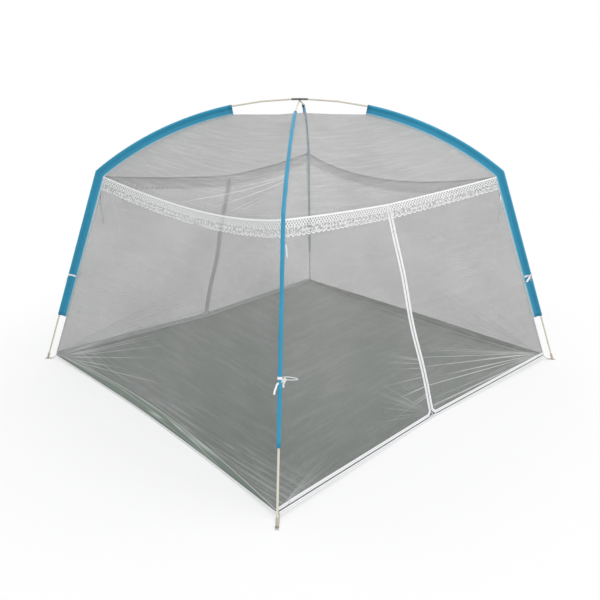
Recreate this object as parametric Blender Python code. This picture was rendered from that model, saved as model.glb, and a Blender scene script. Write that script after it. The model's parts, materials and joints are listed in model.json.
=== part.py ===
"""Two-pole mosquito net tent with a T-shaped zip door in each long wall.

Two jointed fibreglass poles cross over the top and stand in webbing tabs at the four floor
corners. Each pole runs in a blue cloth sleeve, and the inner edge of the sleeve carries the
corner seam of the net. Lengths are in metres, angles in degrees, +Z is up and the origin lies
on the ground under the crossing. The door walls face -Y (front) and +Y (back).
"""
import math

import bmesh
import bpy
from mathutils import Matrix, Vector

# Whole tent
FLOOR_LENGTH = 2.0
FLOOR_WIDTH = 1.9
CROWN_HEIGHT = 1.405
SHOULDER_HEIGHT = 1.050
SHOULDER_REACH = 1.037
NET_CORNER_RISE = 0.022
GAP = 0.0003
WELD_DISTANCE = 0.000003
SMOOTH_ANGLE = 40

# Poles
ROD_RADIUS = 0.00425
ROD_BORE_RADIUS = 0.0018
FERRULE_WALL = 0.0007
BEND_REACH = 0.024
SOCKET_LENGTH = 0.045
ROD_END_GAP = 0.003
CROSSING_FERRULE_LENGTH = 0.080
SHOCK_CORD_RADIUS = 0.0014
CAP_RADIUS = 0.0060
CAP_DEPTH = 0.024
CAP_FLOOR = 0.003
PIN_RADIUS = 0.0018
PIN_LENGTH = 0.008
PIN_LIFT = 0.0006
TUBE_SIDES = 8
ROOF_STATIONS = 6
CROWN_STATIONS = 2
BEND_STATIONS = 4

# Sleeves
WEB_WIDTH = 0.039
SLEEVE_BORE_RADIUS = 0.0065
SLEEVE_CLOTH = 0.0006
WEB_THICKNESS = 0.0012
SLEEVE_THROAT = 0.015
SLEEVE_SLIT = 0.00015
SLEEVE_HEM_HEIGHT = 0.267
SLEEVE_END_REACH = 0.336

# Net panels
NET_THICKNESS = 0.0010
SEAM_STEP = 0.0011
LACE_SEAM_GAP = 0.0004
DOOR_LACE_SAG = 0.058
DOOR_LACE_PULL = 0.108
DOOR_LACE_BOW_SHARE = 0.5
WALL_LACE_SAG = 0.080
WALL_LACE_PULL = 0.085
WALL_COLUMNS = 24
FLOOR_CELLS = 12
WALL_ROWS = 6
SIDE_COLUMNS = 9
ROOF_COLUMNS = 8
CROWN_SAG = 0.006
CROWN_PEAK_RISE = 0.004

# Lace valances
LACE_DEPTH = 0.070
LACE_THICKNESS = 0.0008
LACE_STANDOFF = 0.0013
SCALLOP_DEPTH = 0.007
SCALLOP_COUNT = 24
SCALLOP_POINTS = 3
BINDING_WIDTH = 0.012
BINDING_THICKNESS = 0.0008

# Groundsheet
SHEET_THICKNESS = 0.0010
FLOOR_SAG = 0.038
FLOOR_SIDE_HEIGHT = 0.062
SIDE_CORNER_SHARE = 0.25
FLOOR_FOLD_SHARE = 0.12
LIFT_REACH_POWER = 12
LIFT_EDGE_POWER = 4

# Corner tabs
TAB_WIDTH = 0.015
TAB_THICKNESS = 0.0014
TAB_END_REACH = 0.013
TAB_SLOPE_RUN = 0.025
EYELET_BORE_RADIUS = 0.0032
EYELET_FLANGE_RADIUS = 0.0064
EYELET_FLANGE = 0.0006
EYELET_SIDES = 16
CUT_OVERRUN = 0.002

# Tape ties on the sleeves
TIE_HEIGHT = 0.500
TIE_WIDTH = 0.010
TIE_THICKNESS = 0.0010
TIE_LEG_REACH = 0.030
TAPE_END_HALF_WIDTH = 0.0033
KNOT_RADIUS = 0.0075
TAIL_LENGTH = 0.065
TAIL_SWING = 0.018
TAIL_SWING_SHARES = (1.0, 0.2)
BOW_LENGTH = 0.060
BOW_HEIGHT = 0.010
BOW_DROOP = 0.020
BOW_ASIDE_SHARE = 0.8
BOW_INWARD_SHARE = 0.6

# Zips
ZIP_PULL_IN = 0.045
ZIP_FOOT_HEIGHT = 0.016
ZIP_CORNER_HEIGHT = 0.030
COIL_GAP = 0.0008
COIL_WIDTH = 0.0022
COIL_HALF_THICKNESS = 0.0010
TAPE_WIDTH = 0.0130
TAPE_HALF_THICKNESS = 0.0004
ZIP_HEADER_LENGTH = 0.120
ZIP_PARK_LENGTH = 0.050
ZIP_TOP_GAP = 0.0012
JUNCTION_REACH = 0.022
NET_HINGE_GAP = 0.0005
TAPE_HINGE_GAP = 0.0012
NET_LAP = 0.0030
ZIP_STOP_DROP = 0.050
ZIP_STOP_LENGTH = 0.006

# Zip sliders and pulls
SLIDER_LENGTH = 0.0090
SLIDER_FRONT_WIDTH = 0.0080
SLIDER_REAR_WIDTH = 0.0058
SLIDER_PLATE = 0.0010
SLIDER_CLEARANCE = 0.00045
POST_LENGTH = 0.0030
POST_WIDTH = 0.0009
CROWN_LENGTH = 0.0070
CROWN_WIDTH = 0.0016
CROWN_OPENING = 0.0024
CROWN_BAR = 0.0009
PULL_WIDTH = 0.0050
PULL_TIP_WIDTH = 0.0038
PULL_THICKNESS = 0.0010
PULL_REACH = 0.0195
PULL_BAR = 0.0012
PULL_WINDOW_LENGTH = 0.0046
PULL_WINDOW_WIDTH = 0.0024
PULL_LIFT = 0.0011
TOP_SLIDER_REST = 0.0120
SIDE_SLIDER_REST = 0.0080

CORNERS = {
    "front_right": (1, -1, "over"),
    "back_left": (-1, 1, "over"),
    "front_left": (-1, -1, "under"),
    "back_right": (1, 1, "under"),
}
DOOR_WALLS = ("front", "back")
UP = Vector((0, 0, 1))
X_AXIS = Vector((1, 0, 0))
Y_AXIS = Vector((0, 1, 0))

HALF_LENGTH = FLOOR_LENGTH / 2
HALF_WIDTH = FLOOR_WIDTH / 2
HALF_DIAGONAL = math.hypot(HALF_LENGTH, HALF_WIDTH)
SLEEVE_TURN = math.pi / 3
FERRULE_BORE_RADIUS = ROD_RADIUS + GAP
FERRULE_RADIUS = FERRULE_BORE_RADIUS + FERRULE_WALL
CROWNS = {"over": CROWN_HEIGHT, "under": CROWN_HEIGHT - 2 * FERRULE_RADIUS - GAP}
SEAM_RUN = HALF_DIAGONAL - SHOULDER_REACH
SEAM_DROP = SHOULDER_HEIGHT - NET_CORNER_RISE
LEG_LEAN = math.atan2(SEAM_RUN, SEAM_DROP) + math.asin(WEB_WIDTH / math.hypot(SEAM_RUN, SEAM_DROP))
FOOT_REACH = SHOULDER_REACH + SHOULDER_HEIGHT * math.tan(LEG_LEAN)
PIN_TOP = PIN_LIFT + PIN_LENGTH * math.cos(LEG_LEAN) + PIN_RADIUS * math.sin(LEG_LEAN)
ROD_FOOT_HEIGHT = PIN_TOP + (CAP_FLOOR + GAP) * math.cos(LEG_LEAN)
CORNER_LIFT = ZIP_CORNER_HEIGHT - ZIP_FOOT_HEIGHT
COIL_EDGE = COIL_GAP + COIL_WIDTH
TAPE_EDGE = COIL_EDGE + TAPE_WIDTH
NET_EDGE = TAPE_EDGE - NET_LAP


def clear_scene():
    for obj in list(bpy.data.objects):
        bpy.data.objects.remove(obj, do_unlink=True)


def material(name, color, roughness, metallic=0.0, alpha=1.0):
    mat = bpy.data.materials.new(name)
    mat.use_nodes = True
    shader = mat.node_tree.nodes["Principled BSDF"]
    shader.inputs["Base Color"].default_value = (*color, 1.0)
    shader.inputs["Roughness"].default_value = roughness
    shader.inputs["Metallic"].default_value = metallic
    shader.inputs["Alpha"].default_value = alpha
    return mat


def finish(name, bm, mat, smooth=False):
    """Turn a bmesh into a named object whose faces all point out."""
    bmesh.ops.remove_doubles(bm, verts=bm.verts, dist=WELD_DISTANCE)
    bmesh.ops.recalc_face_normals(bm, faces=bm.faces)
    mesh = bpy.data.meshes.new(name)
    bm.to_mesh(mesh)
    bm.free()
    mesh.materials.append(mat)
    if smooth:
        mesh.shade_smooth()
        mesh.set_sharp_from_angle(angle=math.radians(SMOOTH_ANGLE))
    obj = bpy.data.objects.new(name, mesh)
    bpy.context.scene.collection.objects.link(obj)
    return obj


def new_object(name, mesh, mat):
    if not mesh.materials:
        mesh.materials.append(mat)
    obj = bpy.data.objects.new(name, mesh)
    bpy.context.scene.collection.objects.link(obj)
    return obj


def combine(name, body, tools):
    """One mesh from a body and the pieces that Boolean modifiers join to it or cut from it."""
    for piece, operation in tools:
        piece.hide_render = True
        piece.display_type = "WIRE"
        change = body.modifiers.new(piece.name, "BOOLEAN")
        change.operation = operation
        change.solver = "EXACT"
        change.object = piece
    state = bpy.context.evaluated_depsgraph_get()
    mesh = bpy.data.meshes.new_from_object(body.evaluated_get(state))
    mesh.name = name
    for piece in [body] + [piece for piece, _ in tools]:
        bpy.data.objects.remove(piece, do_unlink=True)
    return mesh


def skin(bm, rings, closed_ends=True):
    """Join equal rings of points into one tube, with an end face on the first and last."""
    loops = [[bm.verts.new(point) for point in ring] for ring in rings]
    count = len(loops[0])
    for low, high in zip(loops, loops[1:]):
        for i in range(count):
            j = (i + 1) % count
            bm.faces.new((low[i], low[j], high[j], high[i]))
    if closed_ends:
        bm.faces.new(list(reversed(loops[0])))
        bm.faces.new(loops[-1])
    return loops


def skin_hollow(bm, outer_rings, inner_rings):
    """Join outer and inner rings into one open-ended pipe with ring-shaped end faces."""
    outer = skin(bm, outer_rings, closed_ends=False)
    inner = skin(bm, inner_rings, closed_ends=False)
    count = len(outer[0])
    for outside, inside in ((outer[0], inner[0]), (outer[-1], inner[-1])):
        for i in range(count):
            j = (i + 1) % count
            bm.faces.new((outside[i], outside[j], inside[j], inside[i]))


def shares_between(first, last, count):
    return [first + (last - first) * i / count for i in range(count + 1)]


def circle(radius, sides=TUBE_SIDES):
    """A round profile as (inward, sideways) pairs."""
    step = 2 * math.pi / sides
    return [(radius * math.cos(i * step), radius * math.sin(i * step)) for i in range(sides)]


class Frame:
    """A point on a pole's axis with its inward normal, stretched to the mitre, and its side."""

    def __init__(self, point, inward, side):
        self.point = point
        self.inward = inward
        self.side = side

    def at(self, inward, sideways):
        return self.point + self.inward * inward + self.side * sideways

    def ring(self, profile):
        return [self.at(n, b) for n, b in profile]


def frames_along(points, side):
    """Mitred frames at every point of a path that lies in the plane square to side."""
    tangents = [(b - a).normalized() for a, b in zip(points, points[1:])]
    frames = []
    for i, point in enumerate(points):
        before = tangents[max(i - 1, 0)]
        after = tangents[min(i, len(tangents) - 1)]
        normal = side.cross(before + after).normalized()
        stretch = 1 / normal.dot(side.cross(before).normalized())
        frames.append(Frame(point, normal * stretch, side))
    return frames


class Corner:
    """One corner of the tent: the pole's path from the ground to the crown, and the seam."""

    def __init__(self, name):
        sign_x, sign_y, self.pole = CORNERS[name]
        self.name = name
        self.out = Vector((sign_x * HALF_LENGTH, sign_y * HALF_WIDTH, 0)).normalized()
        self.side = self.out.cross(UP)
        self.door_side = -sign_x * sign_y
        rise = CROWNS[self.pole] - SHOULDER_HEIGHT
        self.radius = (SHOULDER_REACH ** 2 + rise ** 2) / (2 * rise)
        self.arc_centre = CROWNS[self.pole] - self.radius
        self.shoulder_angle = math.asin(SHOULDER_REACH / self.radius)
        self.arc_length = self.radius * self.shoulder_angle
        self.leg_direction = -self.out * math.sin(LEG_LEAN) + UP * math.cos(LEG_LEAN)
        self.make_path()

    def place(self, reach, height):
        return self.out * reach + UP * height

    def on_leg(self, height):
        reach = SHOULDER_REACH + (SHOULDER_HEIGHT - height) * math.tan(LEG_LEAN)
        return self.place(reach, height)

    def below_elbow(self, distance):
        return self.place(SHOULDER_REACH, SHOULDER_HEIGHT) - self.leg_direction * distance

    def on_roof(self, distance):
        angle = self.shoulder_angle - distance / self.radius
        reach = self.radius * math.sin(angle)
        return self.place(reach, self.arc_centre + self.radius * math.cos(angle))

    def make_path(self):
        """Points from the foot to the crown, with the places of the joints kept by name."""
        points = [self.on_leg(ROD_FOOT_HEIGHT)]
        self.index = {"foot": 0}

        def add(label, point):
            self.index[label] = len(points)
            points.append(point)

        add("hem", self.on_leg(SLEEVE_HEM_HEIGHT))
        add("mid_leg", self.on_leg((SLEEVE_HEM_HEIGHT + SHOULDER_HEIGHT) / 2))
        add("leg_socket", self.below_elbow(BEND_REACH + SOCKET_LENGTH))
        add("leg_rod_end", self.below_elbow(BEND_REACH + ROD_END_GAP))
        start = self.below_elbow(BEND_REACH)
        middle = self.below_elbow(0)
        end = self.on_roof(BEND_REACH)
        for i in range(BEND_STATIONS + 1):
            share = i / BEND_STATIONS
            point = start.lerp(middle, share).lerp(middle.lerp(end, share), share)
            add("bend_%d" % i, point)
        add("roof_rod_start", self.on_roof(BEND_REACH + ROD_END_GAP))
        socket = BEND_REACH + SOCKET_LENGTH
        add("roof_socket", self.on_roof(socket))
        end_angle = math.asin(SLEEVE_END_REACH / self.radius)
        sleeve_end = self.arc_length - self.radius * end_angle
        for i in range(1, ROOF_STATIONS + 1):
            add("roof_%d" % i, self.on_roof(socket + (sleeve_end - socket) * i / ROOF_STATIONS))
        self.index["sleeve_end"] = self.index["roof_%d" % ROOF_STATIONS]
        ferrule_end = self.arc_length - CROSSING_FERRULE_LENGTH / 2
        for i in range(1, CROWN_STATIONS + 1):
            share = i / CROWN_STATIONS
            add("crown_%d" % i, self.on_roof(sleeve_end + (ferrule_end - sleeve_end) * share))
        self.index["crossing_socket"] = self.index["crown_%d" % CROWN_STATIONS]
        add("roof_rod_end", self.on_roof(self.arc_length - ROD_END_GAP))
        add("crown", self.on_roof(self.arc_length))
        self.points = points
        self.frames = frames_along(points, self.side)

    def stretch(self, first, last):
        return self.frames[self.index[first]:self.index[last] + 1]

    def seam(self, label, beyond=0.0):
        """The seam point that faces a named place on the pole."""
        return self.frames[self.index[label]].at(WEB_WIDTH + beyond, 0)

    def seam_at_height(self, height):
        """A point of the straight seam beside the leg."""
        low = self.frames[0].at(WEB_WIDTH, 0)
        return low + self.leg_direction * ((height - low.z) / self.leg_direction.z)

    @property
    def shoulder(self):
        return self.seam("bend_%d" % (BEND_STATIONS // 2))


def make_corners():
    return {name: Corner(name) for name in CORNERS}


def pipe(name, frames, outer_radius, inner_radius, mat):
    bm = bmesh.new()
    outer = [frame.ring(circle(outer_radius)) for frame in frames]
    inner = [frame.ring(circle(inner_radius)) for frame in frames]
    skin_hollow(bm, outer, inner)
    return finish(name, bm, mat, smooth=True)


def make_rods(corners, mat):
    for corner in corners.values():
        leg = [corner.frames[0], corner.frames[corner.index["leg_rod_end"]]]
        pipe("leg_rod_" + corner.name, leg, ROD_RADIUS, ROD_BORE_RADIUS, mat)
        roof = corner.stretch("roof_rod_start", "roof_rod_end")
        pipe("roof_rod_" + corner.name, roof, ROD_RADIUS, ROD_BORE_RADIUS, mat)


def make_elbow_ferrules(corners, mat):
    """Bent steel ferrules that set the shoulders of the poles."""
    for corner in corners.values():
        frames = corner.stretch("leg_socket", "roof_socket")
        pipe("elbow_ferrule_" + corner.name, frames, FERRULE_RADIUS, FERRULE_BORE_RADIUS, mat)


def pole_halves(corners, pole):
    return [corner for corner in corners.values() if corner.pole == pole]


def across(corners, pole, first):
    """Points of a whole pole from one corner's named place over the crown to the other's."""
    near, far = pole_halves(corners, pole)
    start = near.index[first]
    points = near.points[start:] + list(reversed(far.points[start:-1]))
    return frames_along(points, near.side)


def make_crossing_ferrules(corners, mat):
    """Straight steel ferrules that join the two halves of each pole at the crossing."""
    for pole in CROWNS:
        frames = across(corners, pole, "crossing_socket")
        pipe("crossing_ferrule_" + pole, frames, FERRULE_RADIUS, FERRULE_BORE_RADIUS, mat)


def make_shock_cords(corners, mat):
    """Elastic cords that run inside the rods from foot to foot."""
    for pole in CROWNS:
        bm = bmesh.new()
        frames = across(corners, pole, "foot")
        skin(bm, [frame.ring(circle(SHOCK_CORD_RADIUS, TUBE_SIDES // 2)) for frame in frames])
        finish("shock_cord_" + pole, bm, mat, smooth=True)


def make_foot_caps(corners, mat):
    """Cups on the feet of the rods, each with a pin that drops into a corner eyelet."""
    floor = -CAP_FLOOR - GAP
    stations = [
        (floor - PIN_LENGTH, PIN_RADIUS),
        (floor, PIN_RADIUS),
        (floor, CAP_RADIUS),
        (CAP_DEPTH, CAP_RADIUS),
        (CAP_DEPTH, FERRULE_BORE_RADIUS),
        (-GAP, FERRULE_BORE_RADIUS),
    ]
    for corner in corners.values():
        axis = corner.leg_direction
        frame = Frame(corner.points[0], corner.side.cross(axis), corner.side)
        rings = []
        for distance, radius in stations:
            rings.append([point + axis * distance for point in frame.ring(circle(radius))])
        bm = bmesh.new()
        skin(bm, rings)
        finish("foot_cap_" + corner.name, bm, mat, smooth=True)


def sleeve_profile(radius, half_web, web_end, throat=SLEEVE_THROAT):
    """A drop-shaped loop round the pole that runs out into the flat web at the seam."""
    half = [(web_end, half_web), (throat, half_web)]
    for turn in (1, 2):
        angle = turn * SLEEVE_TURN
        half.append((radius * math.cos(angle), radius * math.sin(angle)))
    mirrored = [(n, -b) for n, b in reversed(half)]
    return half + [(-radius, 0)] + mirrored


def make_sleeves(corners, mat):
    for corner in corners.values():
        frames = corner.stretch("hem", "sleeve_end")
        outer = sleeve_profile(SLEEVE_BORE_RADIUS + SLEEVE_CLOTH, WEB_THICKNESS / 2, WEB_WIDTH)
        throat = SLEEVE_THROAT - SLEEVE_CLOTH
        inner = sleeve_profile(SLEEVE_BORE_RADIUS, SLEEVE_SLIT, throat, throat - SLEEVE_CLOTH)
        bm = bmesh.new()
        skin_hollow(bm, [f.ring(outer) for f in frames], [f.ring(inner) for f in frames])
        finish("sleeve_" + corner.name, bm, mat, smooth=True)


def make_corner_tabs(corners, mat):
    """Webbing tabs from the floor's corners out to the feet, each with its pressed-in eyelet."""
    half_width = TAB_WIDTH / 2
    seat = TAB_THICKNESS / 2
    profile = [(seat, half_width), (seat, -half_width), (-seat, -half_width), (-seat, half_width)]
    for corner in corners.values():
        sewn = corner.seam_at_height(CORNER_LIFT).dot(corner.out) + 2 * GAP
        path = [
            corner.place(sewn, CORNER_LIFT),
            corner.place(sewn + TAB_SLOPE_RUN, seat),
            corner.place(FOOT_REACH + TAB_END_REACH, seat),
        ]
        bm = bmesh.new()
        skin(bm, [frame.ring(profile) for frame in frames_along(path, corner.side)])
        strap = finish("strap", bm, mat)
        foot = corner.place(FOOT_REACH, 0)
        eyelet = rod_piece("eyelet", foot, seat, TAB_THICKNESS + EYELET_FLANGE, EYELET_FLANGE_RADIUS, mat)
        bore = rod_piece("bore", foot, -CUT_OVERRUN, TAB_THICKNESS + EYELET_FLANGE + CUT_OVERRUN,
                         EYELET_BORE_RADIUS, mat)
        mesh = combine("corner_tab", strap, [(eyelet, "UNION"), (bore, "DIFFERENCE")])
        new_object("corner_tab_" + corner.name, mesh, mat)


def rod_piece(name, foot, low, high, radius, mat):
    """An upright cylinder over a point on the ground."""
    bm = bmesh.new()
    rings = []
    for height in (low, high):
        rings.append([foot + X_AXIS * a + Y_AXIS * b + UP * height
                      for a, b in circle(radius, EYELET_SIDES)])
    skin(bm, rings)
    return finish(name, bm, mat)


def ribbon(bm, path, across_path, half_width, thickness):
    """A flat strip of even thickness along a path, with its width set by one direction."""
    points = [Vector(point) for point in path]
    rings = []
    for i, point in enumerate(points):
        before = points[max(i - 1, 0)]
        after = points[min(i + 1, len(points) - 1)]
        face = (after - before).cross(across_path).normalized() * (thickness / 2)
        wide = across_path * half_width
        rings.append([point + wide + face, point - wide + face, point - wide - face,
                      point + wide - face])
    skin(bm, rings)


def make_sleeve_ties(corners, mat):
    """White tape ties: a band over each sleeve, its knot, two hanging tails and a bow."""
    inside = SLEEVE_BORE_RADIUS + SLEEVE_CLOTH + GAP
    outside = inside + TIE_THICKNESS
    web_face = WEB_THICKNESS / 2 + GAP
    for corner in corners.values():
        centre = corner.on_leg(TIE_HEIGHT)
        axis = corner.leg_direction
        frame = Frame(centre, corner.side.cross(axis), corner.side)
        outline = sleeve_profile(outside, web_face + TIE_THICKNESS, TIE_LEG_REACH)
        outline += list(reversed(sleeve_profile(inside, web_face, TIE_LEG_REACH)))
        bm = bmesh.new()
        skin(bm, [[point + axis * end for point in frame.ring(outline)]
                  for end in (-TIE_WIDTH / 2, TIE_WIDTH / 2)])
        band = finish("band", bm, mat)

        aside = corner.side * corner.door_side
        knot = centre + aside * (inside * math.sin(SLEEVE_TURN) + KNOT_RADIUS)
        bm = bmesh.new()
        bmesh.ops.create_icosphere(bm, subdivisions=2, radius=KNOT_RADIUS,
                                   matrix=Matrix.Translation(knot))
        pieces = [finish("knot", bm, mat)]
        for swing_share, step in zip(TAIL_SWING_SHARES, (TIE_THICKNESS, -TIE_THICKNESS)):
            tail = []
            for share in shares_between(0, 1, 3):
                swing = TAIL_SWING * swing_share * share ** 2 + step
                tail.append(knot - UP * (TAIL_LENGTH * share) + corner.out * swing)
            bm = bmesh.new()
            ribbon(bm, tail, corner.side, TAPE_END_HALF_WIDTH, TIE_THICKNESS)
            pieces.append(finish("tail", bm, mat))
        away = (aside * BOW_ASIDE_SHARE - corner.out * BOW_INWARD_SHARE).normalized()
        bow = []
        for share in shares_between(0, 1, 6):
            turn = math.pi * share
            lift = BOW_HEIGHT / 2 * math.cos(turn) - BOW_DROOP * math.sin(turn)
            bow.append(knot + away * (BOW_LENGTH * math.sin(turn)) + UP * lift)
        bm = bmesh.new()
        ribbon(bm, bow, away.cross(UP), TAPE_END_HALF_WIDTH, TIE_THICKNESS)
        pieces.append(finish("bow", bm, mat))
        mesh = combine("sleeve_tie", band, [(piece, "UNION") for piece in pieces])
        new_object("sleeve_tie_" + corner.name, mesh, mat)


class Wall:
    """One wall of the net: its two corners, its outward side and its curved edges."""

    def __init__(self, name, left, right):
        self.name = name
        self.left = left
        self.right = right
        self.door = name in DOOR_WALLS
        span = right.out - left.out
        self.along = span.normalized()
        self.outward = self.along.cross(UP)
        if self.door:
            self.lace_dip = -self.outward * DOOR_LACE_PULL - UP * DOOR_LACE_SAG
            self.lace_bow_share = DOOR_LACE_BOW_SHARE
            self.floor_pull = ZIP_PULL_IN
        else:
            self.lace_dip = -self.outward * WALL_LACE_PULL - UP * WALL_LACE_SAG
            self.lace_bow_share = 1.0
            self.floor_pull = FLOOR_SAG
        self.halves = []

    def lace(self, share):
        """The lace seam at shoulder height, which sags between the corners."""
        edge = self.left.shoulder.lerp(self.right.shoulder, share)
        bow = 4 * share * (1 - share)
        kink = 1 - abs(2 * share - 1)
        return edge + self.lace_dip * (kink + (bow - kink) * self.lace_bow_share)

    def floor(self, share):
        """The groundsheet's edge: drawn in at the middle and lifted only at the corners."""
        edge = self.left.seam_at_height(CORNER_LIFT).lerp(self.right.seam_at_height(CORNER_LIFT), share)
        off_middle = abs(2 * share - 1)
        if self.door:
            pull = self.floor_pull * (1 - off_middle)
            lift = CORNER_LIFT * off_middle
        else:
            pull = self.floor_pull * (1 - off_middle ** 2)
            lift = CORNER_LIFT * off_middle ** LIFT_EDGE_POWER
        point = edge - self.outward * pull
        return Vector((point.x, point.y, lift))

    def foot(self, share):
        """Where the net that hangs from the lace seam ends: the floor, or a door's hinge."""
        if not self.door:
            return self.floor(share)
        half = self.halves[0 if share < 0.5 else 1]
        off_middle = abs(2 * share - 1)
        corner_share = half.park_foot.x / half.corner_foot.x
        if off_middle < corner_share:
            return half.place(half.hinge_top.lerp(half.park_foot, off_middle / corner_share))
        beyond = (off_middle - corner_share) / (1 - corner_share)
        return half.place(half.park_foot.lerp(half.corner_foot, beyond))

    def surface(self, share, rise_share):
        return self.floor(share).lerp(self.lace(share), rise_share)

    def below_lace(self, share, drop, standoff):
        """A point at a drop below the lace seam, standing off the net's middle surface."""
        top = self.lace(share)
        down = (self.foot(share) - top).normalized()
        step = 1 / WALL_COLUMNS
        across_wall = self.lace(min(share + step, 1)) - self.lace(max(share - step, 0))
        outward = down.cross(across_wall).normalized()
        return top + down * drop + outward * standoff

    def height_share(self, height):
        return height / (self.lace(0.5) - self.floor(0.5)).length

    def side_share(self, share):
        """How far up a plain wall the groundsheet is turned: least at the corners."""
        grown = SIDE_CORNER_SHARE + (1 - SIDE_CORNER_SHARE) * (1 - abs(2 * share - 1) ** 2)
        return self.height_share(FLOOR_SIDE_HEIGHT) * grown

    def edge_share(self):
        return SEAM_STEP / (self.left.shoulder - self.right.shoulder).length


class Line:
    """A straight line in the plane of half a door wall, with the side it is offset to."""

    def __init__(self, start, end, toward):
        self.start = start
        self.way = (end - start).normalized()
        self.normal = Vector((-self.way.y, self.way.x, 0))
        if (toward - start).dot(self.normal) < 0:
            self.normal = -self.normal

    def shifted(self, distance):
        moved = Line(self.start, self.start + self.way, self.start + self.normal)
        moved.start = self.start + self.normal * distance
        return moved

    def meet(self, other):
        gap = (other.start - self.start).dot(other.normal)
        return Vector(self.start + self.way * (gap / self.way.dot(other.normal)))


class DoorHalf:
    """Half of a door wall: a flat plane with the zips and the slanting hinge of one flap."""

    def __init__(self, wall, corner):
        self.wall = wall
        self.corner = corner
        self.name = corner.name
        self.turn = -1 if corner is wall.left else 1
        self.junction = wall.floor(0.5) + UP * ZIP_FOOT_HEIGHT
        self.junction += wall.outward * -SHEET_THICKNESS
        self.corner_point = corner.seam_at_height(ZIP_CORNER_HEIGHT)
        self.lace_point = wall.lace(0.5)
        self.ex = (self.corner_point - self.junction).normalized()
        self.zip_way = (self.lace_point - self.junction).normalized()
        self.normal = self.ex.cross(self.zip_way).normalized() * self.turn
        self.ey = (self.zip_way - self.ex * self.zip_way.dot(self.ex)).normalized()
        self.make_lines()

    def flat(self, point):
        away = point - self.junction
        return Vector((away.dot(self.ex), away.dot(self.ey), 0))

    def place(self, spot, height=0.0):
        return self.junction + self.ex * spot.x + self.ey * spot.y + self.normal * height

    def make_lines(self):
        origin = Vector((0, 0, 0))
        self.corner_foot = self.flat(self.corner_point)
        lace = self.flat(self.lace_point)
        up_zip = lace.normalized()
        self.hinge_top = Vector(lace - up_zip * ZIP_HEADER_LENGTH)
        self.park_foot = Vector(self.corner_foot - Vector((ZIP_PARK_LENGTH, 0, 0)))
        inside = self.hinge_top.lerp(self.park_foot, 0.5) / 2
        self.zip = Line(origin, lace, inside)
        self.bottom = Line(origin, self.corner_foot, inside)
        self.hinge = Line(self.hinge_top, self.park_foot, inside)
        chamfer_foot = Vector((JUNCTION_REACH, 0, 0))
        self.chamfer = Line(Vector(up_zip * JUNCTION_REACH), chamfer_foot, inside)
        seam_top = self.flat(self.corner_point + self.corner.leg_direction)
        self.seam = Line(self.corner_foot, seam_top, inside)

    def slab(self, name, spots, half_thickness, mat):
        bm = bmesh.new()
        skin(bm, [[self.place(spot, height) for spot in spots]
                  for height in (-half_thickness, half_thickness)])
        return finish(name, bm, mat)

    def strip(self, name, lines, ends, mat):
        bm = bmesh.new()
        skin(bm, self.zip_rings(lines, ends))
        return finish(name, bm, mat)

    def zip_rings(self, lines, ends):
        """Rings of a coil and tape strip: each joint of the path is where two lines meet."""
        rings = []
        for first, second in zip(lines, lines[1:]):
            ring = []
            for distance, height in zip_profile():
                moved = [line.shifted(ends.get(line, distance)) for line in (first, second)]
                ring.append(self.place(moved[0].meet(moved[1]), height))
            rings.append(ring)
        return rings


def zip_profile(tape_edge=TAPE_EDGE):
    """Half a zip in section: the thick coil beside the gap, then the thin tape."""
    upper = [(COIL_GAP, COIL_HALF_THICKNESS), (COIL_EDGE, COIL_HALF_THICKNESS),
             (COIL_EDGE, TAPE_HALF_THICKNESS), (tape_edge, TAPE_HALF_THICKNESS)]
    return upper + [(distance, -height) for distance, height in reversed(upper)]


def make_walls(corners):
    walls = {
        "front": Wall("front", corners["front_left"], corners["front_right"]),
        "right": Wall("right", corners["front_right"], corners["back_right"]),
        "back": Wall("back", corners["back_right"], corners["back_left"]),
        "left": Wall("left", corners["back_left"], corners["front_left"]),
    }
    for name in DOOR_WALLS:
        wall = walls[name]
        wall.halves = [DoorHalf(wall, wall.left), DoorHalf(wall, wall.right)]
    return walls


def cloth(name, panels, mat, thickness, offset=0.0):
    """Cloth panels, each rows of points, given their thickness with a Solidify modifier."""
    bm = bmesh.new()
    for rows in panels:
        lines = [[bm.verts.new(point) for point in row] for row in rows]
        for low, high in zip(lines, lines[1:]):
            for i in range(len(low) - 1):
                if low[i].co == low[i + 1].co:
                    bm.faces.new((low[i], high[i + 1], high[i]))
                elif high[i].co == high[i + 1].co:
                    bm.faces.new((low[i], low[i + 1], high[i]))
                else:
                    bm.faces.new((low[i], low[i + 1], high[i + 1], high[i]))
    bmesh.ops.remove_doubles(bm, verts=bm.verts, dist=WELD_DISTANCE)
    mesh = bpy.data.meshes.new(name)
    bm.to_mesh(mesh)
    bm.free()
    obj = new_object(name, mesh, mat)
    solid = obj.modifiers.new("thickness", "SOLIDIFY")
    solid.thickness = thickness
    solid.offset = offset
    solid.use_even_offset = True
    return obj


def make_plain_wall(wall, net):
    """A wall of net without a door, above the turned-up side of the groundsheet."""
    edge = wall.edge_share()
    columns = shares_between(edge, 1 - edge, WALL_COLUMNS)
    gap = wall.height_share(2 * LACE_SEAM_GAP)
    top = 1 - wall.height_share(LACE_SEAM_GAP)
    rows = []
    for rise in shares_between(0, 1, WALL_ROWS):
        joints = [wall.side_share(s) + gap for s in columns]
        rows.append([wall.surface(s, joint + (top - joint) * rise) for s, joint in zip(columns, joints)])
    cloth("net_wall_" + wall.name, [rows], net, NET_THICKNESS)


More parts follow.
